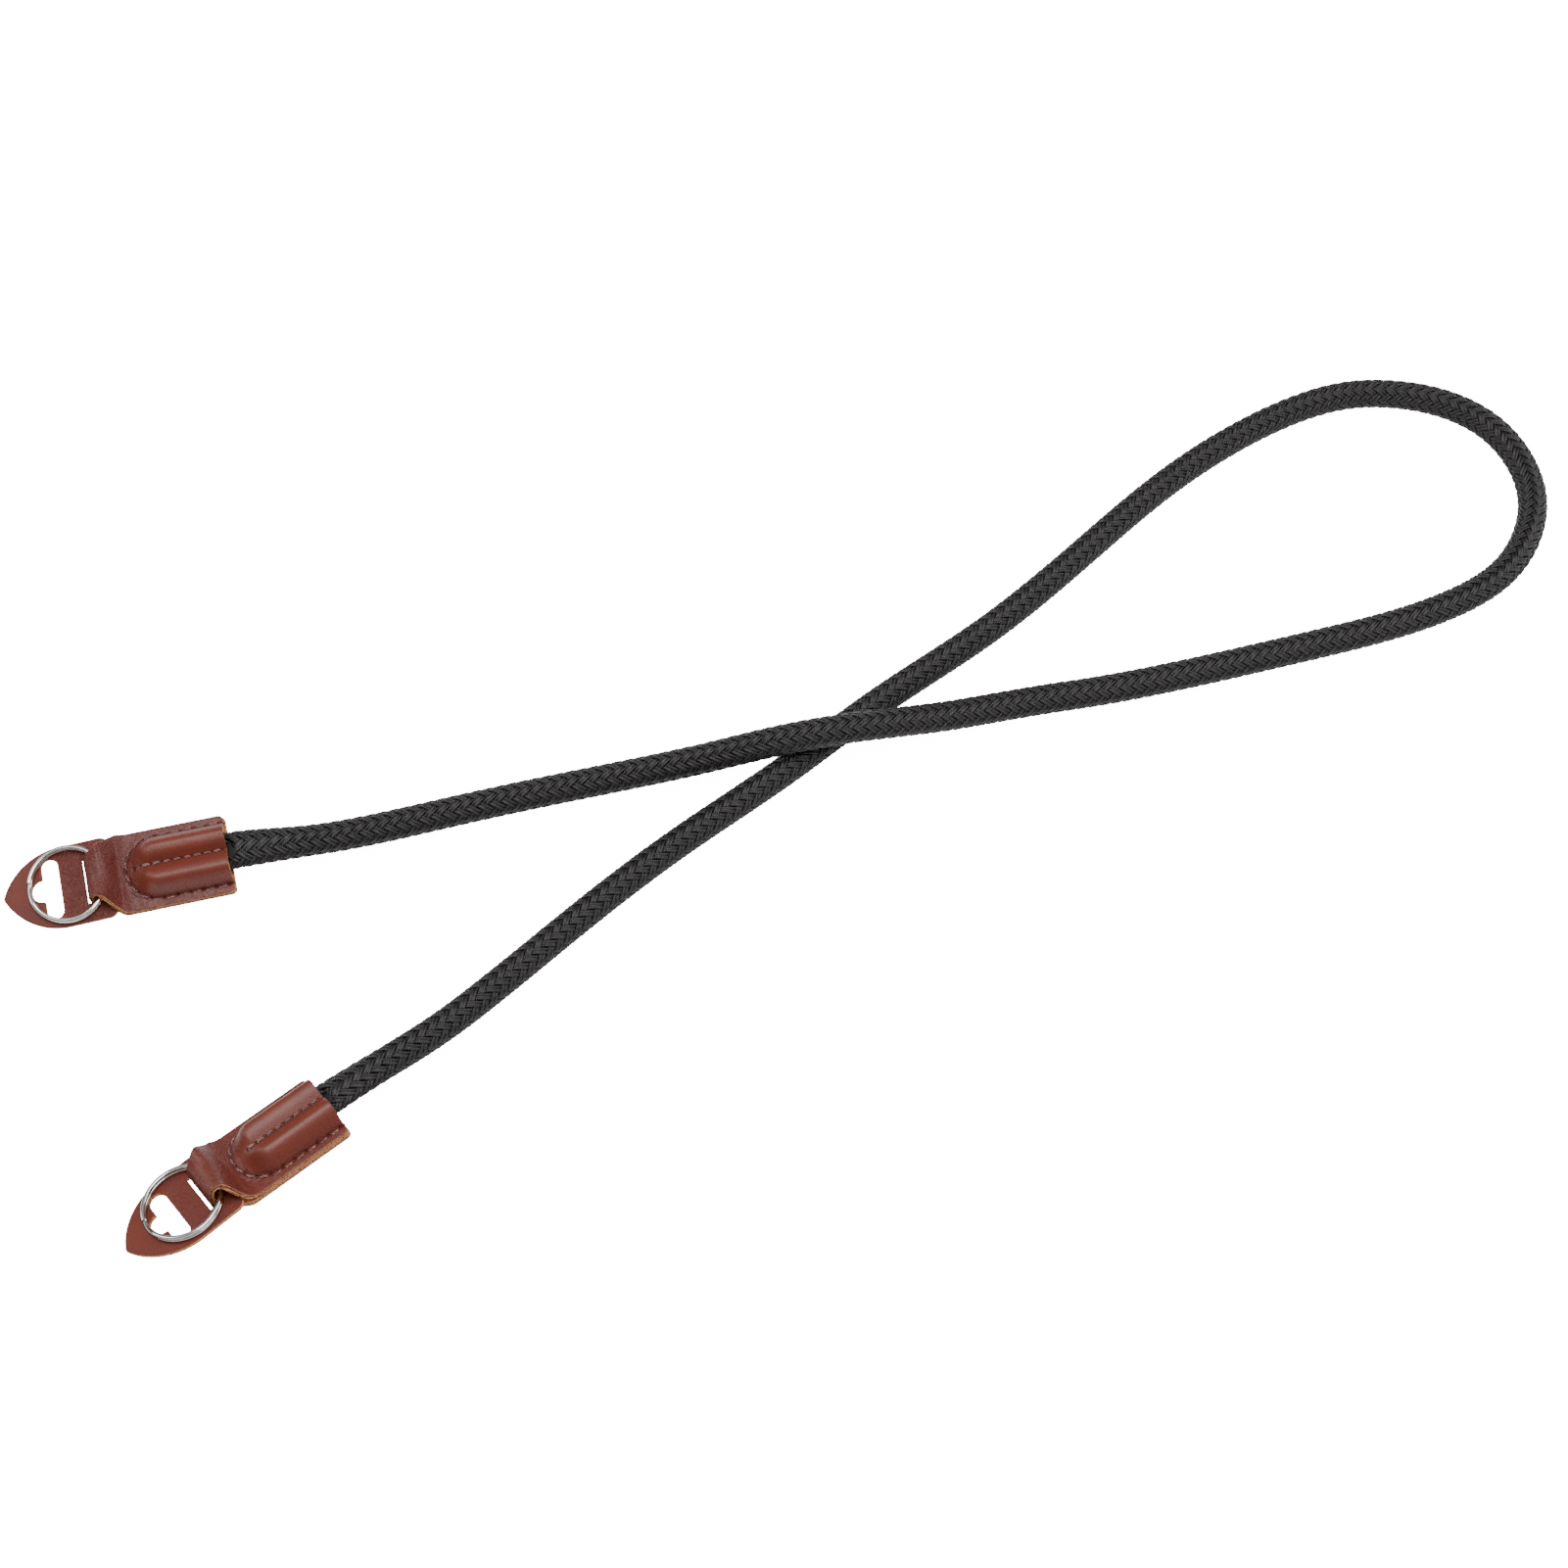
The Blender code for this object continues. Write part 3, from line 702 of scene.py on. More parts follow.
def upper_layer_underside(x, y):
    """Height of the upper layer's inner face, which lies lower where the layer is steep."""
    step = seam_half / 8
    height = upper_layer_height(x, y)
    steepness = 1.0
    for step_x, step_y in ((step, 0.0), (0.0, step)):
        ahead = abs(upper_layer_height(x + step_x, y + step_y) - height)
        behind = abs(upper_layer_height(x - step_x, y - step_y) - height)
        steepness = steepness + (np.maximum(ahead, behind) / step) ** 2
    return height - half_leather * np.sqrt(steepness)


def mouth_ceiling():
    return upper_layer_underside(TAB_LENGTH, seam_half / 2) - LAYER_GAP


# The rope's path

def smooth_curve(knots):
    """A natural cubic spline through the knots, as a function of distance along them."""
    knots = np.array(knots)
    spans = np.linalg.norm(np.diff(knots, axis=0), axis=1)
    at = np.concatenate(([0.0], np.cumsum(spans)))
    count = len(knots)
    matrix = np.eye(count)
    bends = np.zeros((count, 3))
    for i in range(1, count - 1):
        before = spans[i - 1]
        after = spans[i]
        matrix[i, i - 1:i + 2] = (before, 2 * (before + after), after)
        bends[i] = 6 * ((knots[i + 1] - knots[i]) / after - (knots[i] - knots[i - 1]) / before)
    bends = np.linalg.solve(matrix, bends)

    def position(distance):
        i = int(np.clip(np.searchsorted(at, distance) - 1, 0, count - 2))
        span = spans[i]
        left = at[i + 1] - distance
        right = distance - at[i]
        cubic = (bends[i] * left ** 3 + bends[i + 1] * right ** 3) / (6 * span)
        line_left = (knots[i] / span - bends[i] * span / 6) * left
        line_right = (knots[i + 1] / span - bends[i + 1] * span / 6) * right
        return cubic + line_left + line_right

    return position, at[-1]


def rope_path():
    """Points along the rope's middle, from inside the upper tab to inside the lower one."""
    middle = (pocket_floor + mouth_ceiling()) / 2
    inside = [(x, 0.0, middle) for x in np.linspace(rope_end_inset, TAB_LENGTH, 3)]
    first = [tuple(place) for place in to_world("upper", inside)]
    last = [tuple(place) for place in to_world("lower", inside[::-1])]
    position, length = smooth_curve(first + ROUTE + last)
    path = np.array([position(place) for place in np.linspace(0.0, length, round(length / PATH_STEP))])
    path[:, 2] = np.maximum(path[:, 2], rope_radius)
    return path


def press_into_tab(places, centres, end):
    """Flattens the rope between the layers of a tab, and lets it round out past the mouth."""
    local = to_end(end, places)
    centre = to_end(end, centres)
    near = (centre[:, 0] < TAB_LENGTH + ROPE_ROUNDS_OUT) & (np.abs(centre[:, 1]) < TAB_WIDTH)
    near &= centre[:, 0] > 0.0
    side = local[:, 1] - centre[:, 1]
    rise = local[:, 2] - centre[:, 2]
    outside = smooth(centre[:, 0], TAB_LENGTH, TAB_LENGTH + ROPE_ROUNDS_OUT)
    inside = 1 - smooth(centre[:, 0], rope_end_inset, TAB_LENGTH)
    spread = 1 + (ROPE_MOUTH_SPREAD - 1) * (1 - outside) + (rope_spread - ROPE_MOUTH_SPREAD) * inside
    held = 1 - smooth(centre[:, 0], TAB_LENGTH + 0.1 * ROPE_ROUNDS_OUT, TAB_LENGTH + ROPE_ROUNDS_OUT)
    y = centre[:, 1] + side * spread
    ceiling = upper_layer_underside(np.minimum(local[:, 0], TAB_LENGTH), y) - LAYER_GAP
    ceiling = ceiling - VALLEY_CLEARANCE * np.exp(-(y / VALLEY_HALF_WIDTH) ** 2)
    ceiling = np.maximum(ceiling, pocket_floor + ROPE_THINNEST)
    ceiling += (mouth_ceiling() - ceiling) * smooth(local[:, 0], TAB_LENGTH, TAB_LENGTH + MOUTH_SWELL)
    pressed = pocket_floor + (rise / rope_radius + 1) / 2 * (ceiling - pocket_floor)
    shaped = np.stack([local[:, 0], y, (1 - held) * local[:, 2] + held * pressed], axis=1)
    places[near] = to_world(end, shaped)[near]


# The braid

def braid_tree():
    """Strands that wind round a path one way and weave over two, under two."""
    tree, given = new_tree("braid lay", [
        ("Section", "Object"), ("Strands", "Int"), ("Lay Length", "Float"), ("Hand", "Float"),
        ("Winding Radius", "Float"), ("Weave Height", "Float"), ("Step", "Float"), ("Finish", "Material")])
    path = add_node(tree, "GeometryNodeResampleCurve", {"Curve": given["Geometry"], "Length": given["Step"]},
                    mode="LENGTH").outputs[0]
    way = add_node(tree, "GeometryNodeInputTangent").outputs[0]
    run = add_node(tree, "GeometryNodeSplineParameter").outputs["Length"]
    path = keep_attribute(tree, path, "way", way, "FLOAT_VECTOR")
    path = keep_attribute(tree, path, "run", run)
    copies = add_node(tree, "GeometryNodeDuplicateElements", {"Geometry": path, "Amount": given["Strands"]},
                      domain="SPLINE").outputs
    way = read_attribute(tree, "way", "FLOAT_VECTOR")
    run = read_attribute(tree, "run")
    lays = number(tree, "MULTIPLY", number(tree, "DIVIDE", run, given["Lay Length"]), given["Hand"])
    start = number(tree, "DIVIDE", copies["Duplicate Index"], given["Strands"])
    angle = number(tree, "MULTIPLY", number(tree, "ADD", lays, start), 2 * math.pi)
    side = vector(tree, "NORMALIZE", vector(tree, "CROSS_PRODUCT", way, (0.0, 0.0, 1.0)))
    up = vector(tree, "CROSS_PRODUCT", side, way)
    half_strands = number(tree, "DIVIDE", given["Strands"], 2.0)
    phase = number(tree, "MULTIPLY_ADD", angle, half_strands, math.pi / 4)
    weave = number(tree, "MULTIPLY", number(tree, "SINE", phase), math.sqrt(2.0))
    weave = number(tree, "MULTIPLY", number(tree, "MULTIPLY", weave, given["Weave Height"]), given["Hand"])
    out_side = vector(tree, "SCALE", side, scale=number(tree, "COSINE", angle))
    out_up = vector(tree, "SCALE", up, scale=number(tree, "SINE", angle))
    outward = vector(tree, "ADD", out_side, out_up)
    offset = vector(tree, "SCALE", outward, scale=number(tree, "ADD", given["Winding Radius"], weave))
    wound = add_node(tree, "GeometryNodeSetPosition", {"Geometry": copies["Geometry"], "Offset": offset})
    facing = add_node(tree, "GeometryNodeSetCurveNormal", {"Curve": wound.outputs[0], "Normal": outward},
                      mode="FREE").outputs[0]
    section = add_node(tree, "GeometryNodeObjectInfo", {"Object": given["Section"]}).outputs["Geometry"]
    place = add_node(tree, "GeometryNodeInputPosition").outputs[0]
    across = add_node(tree, "ShaderNodeSeparateXYZ", {"Vector": place}).outputs["Y"]
    section = keep_attribute(tree, section, "across", across)
    strands = add_node(tree, "GeometryNodeCurveToMesh",
                       {"Curve": facing, "Profile Curve": section, "Fill Caps": True}).outputs[0]
    lay = add_node(tree, "ShaderNodeCombineXYZ",
                   {"X": read_attribute(tree, "across"), "Y": read_attribute(tree, "run")}).outputs[0]
    strands = keep_attribute(tree, strands, "braid_lay", lay, "FLOAT2", "CORNER")
    strands = add_node(tree, "GeometryNodeSetShadeSmooth", {"Geometry": strands}).outputs[0]
    finish_tree(tree, strands, given["Finish"])
    return tree


def strand_section():
    """Section of a flat strand: round yarns side by side on top, one ridge below."""
    yarn = STRAND_WIDTH / YARNS
    points = [(-0.4 * YARN_RISE, -STRAND_WIDTH / 2, 0.0)]
    for i in range(YARNS):
        middle = (i + 0.5) * yarn - STRAND_WIDTH / 2
        points += [(0.9 * YARN_RISE, middle + side * 0.24 * yarn, 0.0) for side in (-1, 1)]
        if i < YARNS - 1:
            points.append((-0.2 * YARN_RISE, middle + yarn / 2, 0.0))
    points.append((-0.4 * YARN_RISE, STRAND_WIDTH / 2, 0.0))
    points.append((-0.9 * YARN_RISE, 0.0, 0.0))
    return polyline("strand_section", points, cyclic=True)


def core_section():
    turns = [2 * math.pi * i / CORE_SIDES for i in range(CORE_SIDES)]
    radius = CORE_DIAMETER / 2
    points = [(radius * math.cos(turn), radius * math.sin(turn), 0.0) for turn in turns]
    return polyline("core_section", points, cyclic=True)


def press_rope(thing, path):
    """Presses both ends of a piece of the rope, whose points know how far along it they are."""
    mesh = thing.data
    run = np.empty(len(mesh.vertices))
    mesh.attributes["run"].data.foreach_get("value", run)
    at = distances(path)
    centres = np.stack([np.interp(run, at, path[:, axis]) for axis in range(3)], axis=1)
    places = vertex_places(mesh)
    half = at[-1] / 2
    for end, mine in (("upper", run < half), ("lower", run >= half)):
        part = places[mine].copy()
        press_into_tab(part, centres[mine], end)
        places[mine] = part
    set_vertex_places(mesh, places)
    for spare in ("way", "across", "run"):
        if spare in mesh.attributes:
            mesh.attributes.remove(mesh.attributes[spare])


def make_rope():
    path = rope_path()
    line = polyline("rope_line", path)
    tree = braid_tree()
    flat = strand_section()
    core_round = core_section()
    lay = {"Section": flat, "Strands": STRANDS, "Lay Length": LAY_LENGTH, "Weave Height": WEAVE_HEIGHT,
           "Step": BRAID_STEP, "Finish": braid_finish(),
           "Winding Radius": rope_radius - YARN_RISE - math.sqrt(2.0) * WEAVE_HEIGHT}
    right = grow("braid_right_lay", line, tree, {**lay, "Hand": 1.0})
    left = grow("braid_left_lay", line, tree, {**lay, "Hand": -1.0})
    core = grow("rope_core", line, tree, {
        "Section": core_round, "Strands": 1, "Lay Length": LAY_LENGTH, "Hand": 1.0, "Winding Radius": 0.0,
        "Weave Height": 0.0, "Step": CORE_STEP, "Finish": core_finish()})
    for helper in (line, flat, core_round):
        discard(helper)
    for piece in (core, right, left):
        press_rope(piece, path)
        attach(piece, "strap")
        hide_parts("rope")


make_rope()


# The tabs

def edge_insets():
    """Distances in from a cut edge at which its rounding has lines."""
    turns = [math.pi / 2 * i / EDGE_ROWS for i in range(EDGE_ROWS + 1)]
    return [EDGE_ROUNDING * (1 - math.cos(turn)) for turn in turns]


def dressed_height(x, y):
    """The upper layer's middle, soft at the foot of the fold and pressed down on the lower
    layer outside the seam."""
    halfway = FOLD_RADIUS + FOLD_RUN / 2
    foot = FOLD_RADIUS + FOLD_RUN
    away = smooth(x, foot + FOOT_SOFTENING, foot + 3 * FOOT_SOFTENING)
    soft = FOOT_SOFTENING * smooth(x, halfway, halfway + FOOT_SOFTENING) * (1 - away)
    height = upper_layer_height(x, y) / 2
    height = height + (upper_layer_height(x - soft, y) + upper_layer_height(x + soft, y)) / 4
    closed = smooth(x, halfway, foot) * (1 - pocket_rise(x, y))
    return height - (LAYER_GAP - LAYERS_TOUCH) * closed


def even_steps(start, end, step):
    return np.linspace(start, end, round(abs(end - start) / step) + 1)


def strip_stations():
    """The strip's middle line from the lower mouth round the fold to the upper mouth:
    x, height, how much of the upper layer's form applies, distance to the nearer end."""
    insets = edge_insets()
    lower_length = TAB_LENGTH + LOWER_LAYER_EXTRA
    corner_x = half_leather + TONGUE_RADIUS
    stations = [(lower_length - inset, half_leather, 0.0, inset) for inset in insets]
    for x in even_steps(lower_length - EDGE_ROUNDING, corner_x, LOWER_ROW_STEP)[1:]:
        stations.append((x, half_leather, 0.0, lower_length - x))
    for angle in np.linspace(0.0, math.pi / 2, TONGUE_ROWS + 1)[1:]:
        x = corner_x - TONGUE_RADIUS * math.sin(angle)
        stations.append((x, half_leather + TONGUE_RADIUS * (1 - math.cos(angle)), 0.0, TAB_LENGTH))
    fold_z = FOLD_HEIGHT - half_leather - FOLD_RADIUS
    for angle in np.linspace(0.0, math.pi / 2, FOLD_ROWS + 1)[:-1]:
        x = fold_centre - FOLD_RADIUS * math.cos(angle)
        share = float(smooth(math.sin(angle), 0.0, 1.0))
        stations.append((x, fold_z + FOLD_RADIUS * math.sin(angle), share, TAB_LENGTH))
    for x in even_steps(fold_centre, TAB_LENGTH - EDGE_ROUNDING, UPPER_ROW_STEP):
        stations.append((x, None, 1.0, TAB_LENGTH - x))
    stations += [(TAB_LENGTH - inset, None, 1.0, inset) for inset in insets[-2::-1]]
    return stations


def strip_middle():
    """Grid of the strip's middle surface, with each point's distance in from a cut edge."""
    insets = np.array(edge_insets())
    rows = []
    edges = []
    for x, height, formed, end_inset in strip_stations():
        half = float(tab_half_width(x))
        short = max(CORNER_RADIUS - end_inset, 0.0)
        half -= CORNER_RADIUS - math.sqrt(CORNER_RADIUS ** 2 - short ** 2)
        inner = np.linspace(-(half - EDGE_ROUNDING), half - EDGE_ROUNDING, TAB_COLUMNS)[1:-1]
        y = np.concatenate((-(half - insets), inner, (half - insets)[::-1]))
        side_inset = np.concatenate((insets, np.full(len(inner), EDGE_ROUNDING), insets[::-1]))
        if height is None:
            z = dressed_height(np.full(len(y), x), y)
        else:
            z = height + formed * (dressed_height(fold_centre, y) - dressed_height(fold_centre, 0.0))
        rows.append(np.stack([np.full(len(y), x), y, z], axis=1))
        edges.append(np.minimum(side_inset, end_inset))
    return np.array(rows), np.array(edges)


def seam_line():
    """The U-shaped seam, from the mouth round the closed end and back to the mouth."""
    mouth = TAB_LENGTH - SEAM_END_INSET
    straight = even_steps(mouth, seam_centre, SEAM_STEP)
    turn = np.linspace(0.0, math.pi, SEAM_TURN_POINTS)[1:-1]
    arc = np.stack([seam_centre - seam_half * np.sin(turn), seam_half * np.cos(turn)], axis=1)
    first = np.stack([straight, np.full(len(straight), seam_half)], axis=1)
    last = np.stack([straight[::-1], np.full(len(straight), -seam_half)], axis=1)
    return np.concatenate((first, arc, last))


def centre_line():
    x = even_steps(CENTRE_SEAM_START, TAB_LENGTH - SEAM_END_INSET, SEAM_STEP)
    return np.stack([x, np.zeros(len(x))], axis=1)


def along_line(line, count, offset=0.0):
    """Evenly spaced points on a seam, from one end to the other, moved in by an offset."""
    at = distances(line)
    places = np.linspace(offset, at[-1] - offset, count)
    return np.stack([np.interp(places, at, line[:, axis]) for axis in range(2)], axis=1)


def seams():
    """The seam round the pocket and the one along its middle: line, pitch and stitches."""
    rows = []
    for line, pitch in ((seam_line(), ROUND_SEAM_PITCH), (centre_line(), CENTRE_SEAM_PITCH)):
        rows.append((line, pitch, round(float(distances(line)[-1]) / pitch)))
    return rows


def near_holes(x, y, awl_hole):
    """How near each point is to a stitch hole or the awl's hole, from 0 to 1 in its middle."""
    places = []
    for line, pitch, count in seams():
        places += [(*hole, HOLE_RADIUS) for hole in along_line(line, count + 1)]
    if awl_hole:
        places.append((AWL_HOLE_PLACE, 0.0, AWL_HOLE_RADIUS))
    near = np.zeros(x.shape)
    for hole_x, hole_y, radius in places:
        near = np.maximum(near, np.exp(-((x - hole_x) ** 2 + (y - hole_y) ** 2) / radius ** 2))
    return near


def groove(x, y):
    """How far the stitches pull the leather's face in along the seams."""
    depth = GROOVE_DEPTH * np.exp(-(seam_depth(x, y) / GROOVE_HALF_WIDTH) ** 2)
    on_centre = smooth(x, CENTRE_SEAM_START - GROOVE_AHEAD, CENTRE_SEAM_START + GROOVE_FULL)
    return depth + GROOVE_DEPTH * on_centre * np.exp(-(y / GROOVE_HALF_WIDTH) ** 2)


def wrinkle(places, size, seed):
    """Soft uneven creases, worked out point by point."""
    shift = Vector((seed, 0.0, 0.0))
    return np.array([noise.noise(Vector(place) / size + shift) for place in places])


def sheet_mesh(name, outer, inner, masks):
    """A closed sheet from its outer and inner grids, with its cut edges between them."""
    rows, columns = outer.shape[:2]
    places = np.concatenate((outer.reshape(-1, 3), inner.reshape(-1, 3)))
    index = np.arange(rows * columns).reshape(rows, columns)
    under = index + rows * columns

    def quads(a):
        return np.stack([a[:-1, :-1], a[:-1, 1:], a[1:, 1:], a[1:, :-1]], axis=-1).reshape(-1, 4)

    def band(top, bottom):
        return np.stack([top[:-1], bottom[:-1], bottom[1:], top[1:]], axis=-1)

    faces = [quads(index)[:, ::-1], quads(under)]
    faces += [band(index[:, 0], under[:, 0])[:, ::-1], band(index[:, -1], under[:, -1])]
    faces += [band(index[0], under[0]), band(index[-1], under[-1])[:, ::-1]]
    mesh = bpy.data.meshes.new(name)
    mesh.from_pydata(places.tolist(), [], np.concatenate(faces).tolist())
    for label, (on_outer, on_inner) in masks.items():
        set_mask(mesh, label, np.concatenate((on_outer.ravel(), np.full(on_outer.size, on_inner))))
    mesh.shade_smooth()
    return mesh


def unevenness(end, x, y, middle):
    """Height of the skin's creases, and of its puckers by the round seam."""
    flat = middle.reshape(-1, 3)
    seed = TAB_SEEDS[end]
    large, small = WRINKLE_SIZES
    creases = wrinkle(flat, large, seed) + 0.5 * wrinkle(flat, small, seed)
    outside = -seam_depth(x, y)
    creases = creases.reshape(x.shape) * (0.2 + 0.8 * smooth(outside, 0.0, FLAT_REACH)) * WRINKLE_HEIGHT
    by_seam = np.exp(-(np.maximum(outside, 0.0) / PUCKER_REACH) ** 2) * smooth(outside, -0.001, 0.0)
    return creases + wrinkle(flat, PUCKER_SIZE, seed).reshape(x.shape) * by_seam * PUCKER_HEIGHT


def crushed_share(end, x, y):
    """How far the skin is crushed into dark grain: behind the fold, outside the seam and by it."""
    start, full, fading, gone = NECK_GRAIN
    behind_fold = smooth(x, start, full) * (1 - smooth(x, fading, gone))
    outside = smooth(-seam_depth(x, y), 0.0, FLAT_REACH)
    near_seam = np.exp(-(seam_depth(x, y) / PUCKER_REACH) ** 2)
    return np.clip(CRUSHED[end] * (behind_fold + 0.8 * outside) + 0.6 * near_seam, 0.0, 1.0)


def make_tab(end, finish):
    middle, inset = strip_middle()
    along = np.gradient(middle, axis=0)
    across = np.gradient(middle, axis=1)
    outward = np.cross(along, across)
    outward /= np.linalg.norm(outward, axis=2, keepdims=True)
    share = np.clip(1 - inset / EDGE_ROUNDING, 0.0, 1.0)
    thick = half_leather - EDGE_ROUNDING + EDGE_ROUNDING * np.sqrt(1 - share ** 2)
    x = middle[..., 0]
    y = middle[..., 1]
    upper = outward[..., 2] > 0
    # The hole mask dents the outer face, and the finish darkens it there with painted shade
    pierced_hole_shade = np.where(upper, near_holes(x, y, end == "upper"), near_holes(x, y, False))
    detail = unevenness(end, x, y, middle) - groove(x, y) - HOLE_DEPTH * pierced_hole_shade
    outer = middle + outward * (thick + detail * (1 - share))[..., None]
    inner = middle - outward * thick[..., None]
    # Each mask's values on the outer face, and its value on the inner one
    masks = {"raw": (smooth(share, 0.75, 1.0), 1.0), "crushed": (crushed_share(end, x, y), 0.0),
             "pierced_hole_shade": (pierced_hole_shade, 0.0)}
    name = end + "_leather_tab"
    tab = new_object(name, sheet_mesh(name, outer, inner, masks))
    set_vertex_places(tab.data, to_world(end, vertex_places(tab.data)))
    tab.data.materials.append(finish)
    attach(tab, "strap")
    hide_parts(end + "_tab")


# The stitches

def seam_tree():
    """A row of stitches along a line whose points know which way the leather faces."""
    tree, given = new_tree("seam", [
        ("Stitch", "Object"), ("Stitches", "Int"), ("Slant", "Float"), ("Unevenness", "Float"),
        ("Seed", "Int"), ("Finish", "Material")])
    line = add_node(tree, "GeometryNodeMeshToCurve", {"Mesh": given["Geometry"]}).outputs[0]
    row = add_node(tree, "GeometryNodeResampleCurve", {"Curve": line, "Count": given["Stitches"]},
                   mode="COUNT").outputs[0]
    way = add_node(tree, "GeometryNodeInputTangent").outputs[0]
    lift = read_attribute(tree, "lift", "FLOAT_VECTOR")
    turned = add_node(tree, "FunctionNodeAlignRotationToVector", {"Vector": way}, axis="X").outputs[0]
    faced = add_node(tree, "FunctionNodeAlignRotationToVector", {"Rotation": turned, "Vector": lift},
                     axis="Z", pivot_axis="X").outputs[0]
    least = number(tree, "SUBTRACT", given["Slant"], given["Unevenness"])
    most = number(tree, "ADD", given["Slant"], given["Unevenness"])
    slant = add_node(tree, "FunctionNodeRandomValue", {"Seed": given["Seed"], 2: least, 3: most},
                     data_type="FLOAT").outputs[1]
    slanted = add_node(tree, "FunctionNodeAxisAngleToRotation",
                       {"Axis": (0.0, 0.0, 1.0), "Angle": slant}).outputs[0]
    rotation = add_node(tree, "FunctionNodeRotateRotation", {"Rotation": faced, "Rotate By": slanted},
                        rotation_space="LOCAL").outputs[0]
    stitch = add_node(tree, "GeometryNodeObjectInfo", {"Object": given["Stitch"]}).outputs["Geometry"]
    stitches = add_node(tree, "GeometryNodeInstanceOnPoints",
                        {"Points": row, "Instance": stitch, "Rotation": rotation}).outputs[0]
    finish_tree(tree, stitches, given["Finish"])
    return tree


def thread_piece(length):
    """One stitch: two twisted plies that dip into the leather at both ends."""
    ply = THREAD_DIAMETER / 4
    plies = []
    for start in (0.0, math.pi):
        points = []
        for share in [2 * i / (THREAD_POINTS - 1) - 1 for i in range(THREAD_POINTS)]:
            turn = start + THREAD_TWIST * share
            dip = -THREAD_DIAMETER * abs(share) ** 5
            points.append((share * length / 2, ply * math.cos(turn), dip + ply * math.sin(turn)))
        plies.append(points)
    piece = new_curve("stitch", "3D", plies, False)
    piece.data.bevel_depth = ply * PLY_OVERLAP
    piece.data.bevel_resolution = 1
    piece.data.use_fill_caps = True
    mesh = final_mesh(piece)
    discard(piece)
    mesh.shade_smooth()
    return new_object("stitch", mesh)


def upper_face(points, raise_by):
    """Places on the upper layer's outer face and the way it faces there, in the end's frame."""
    x = points[:, 0]
    y = points[:, 1]
    step = SLOPE_STEP
    slope_x = (dressed_height(x + step, y) - dressed_height(x - step, y)) / (2 * step)
    slope_y = (dressed_height(x, y + step) - dressed_height(x, y - step)) / (2 * step)
    facing = np.stack([-slope_x, -slope_y, np.ones(len(x))], axis=1)
    facing /= np.linalg.norm(facing, axis=1, keepdims=True)
    middle = np.stack([x, y, dressed_height(x, y)], axis=1)
    return middle + facing * (half_leather + raise_by), facing


def lower_face(points, raise_by):
    facing = np.tile((0.0, 0.0, -1.0), (len(points), 1))
    return np.stack([points[:, 0], points[:, 1], np.full(len(points), -raise_by)], axis=1), facing


def seam_guide(end, points, face, raise_by):
    """A line of edges on the leather in world places, with the way the leather faces."""
    places, facing = face(points, raise_by)
    mesh = bpy.data.meshes.new("seam_guide")
    edges = [(i, i + 1) for i in range(len(points) - 1)]
    mesh.from_pydata(to_world(end, places).tolist(), edges, [])
    turned = facing @ np.array(end_matrix(end))[:3, :3].T
    mesh.attributes.new("lift", "FLOAT_VECTOR", "POINT").data.foreach_set("vector", turned.ravel())
    return new_object("seam_guide", mesh)


def stitch_rows():
    """Each row of stitches: its line, how many stitches, their pitch, and the face and
    height that they are on."""
    rows = []
    for line, pitch, count in seams():
        inner = along_line(line, POINTS_PER_STITCH * count, pitch / 2)
        rows.append((inner, count, pitch, upper_face, THREAD_RISE - GROOVE_DEPTH))
        rows.append((inner, count, pitch, lower_face, -THREAD_DIAMETER / 2 - THREAD_SUNK))
    ends = [CENTRE_SEAM_START + share * BACK_STITCH_RUN for share in BACK_STITCH_SHARES]
    for side in (1, -1):
        doubled = np.array([(x, side * BACK_STITCH_OFFSET) for x in ends])
        rows.append((doubled, 2, CENTRE_SEAM_PITCH, upper_face, THREAD_RISE - GROOVE_DEPTH / 2))
    return rows


def make_stitches(end, finish, tree):
    parts = []
    for row, (points, count, pitch, face, raise_by) in enumerate(stitch_rows()):
        stitch = thread_piece(pitch * STITCH_SHARE)
        guide = seam_guide(end, points, face, raise_by)
        values = {"Stitch": stitch, "Stitches": count, "Slant": STITCH_SLANT,
                  "Unevenness": STITCH_UNEVENNESS, "Seed": FIRST_STITCH_SEED + row, "Finish": finish}
        parts.append(grow("stitch_row", guide, tree, values))
        discard(guide)
        discard(stitch)
    whole = join(end + "_stitches", parts)
    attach(whole, "strap")


def join(name, parts):
    """Several plain meshes as one piece."""
    body = bmesh.new()
    for part in parts:
        body.from_mesh(part.data)
    mesh = bpy.data.meshes.new(name)
    body.to_mesh(mesh)
    body.free()
    for material in parts[0].data.materials:
        mesh.materials.append(material)
    for part in parts:
        discard(part)
    return new_object(name, mesh)


# The guards and the split rings

def lean_with_guard(places, offset):
    """Tilts places as the guard droops, and moves them."""
    tilt = np.array(Euler((0.0, -guard_droop, 0.0)).to_matrix())
    return places @ tilt.T + offset


def dress(mesh, finish, sharp_angle):
    mesh.shade_smooth()
    mesh.set_sharp_from_angle(angle=sharp_angle)
    mesh.materials.clear()
    mesh.materials.append(finish)


def arc_points(centre, radius, start, end, count):
    turns = np.radians(np.linspace(start, end, count + 1))
    return [(centre[0] + radius * math.cos(a), centre[1] + radius * math.sin(a)) for a in turns]


def mirrored(upper, skip_last):
    points = upper[:-1] if skip_last else upper[1:]
    return upper + [(x, -y) for x, y in reversed(points)]


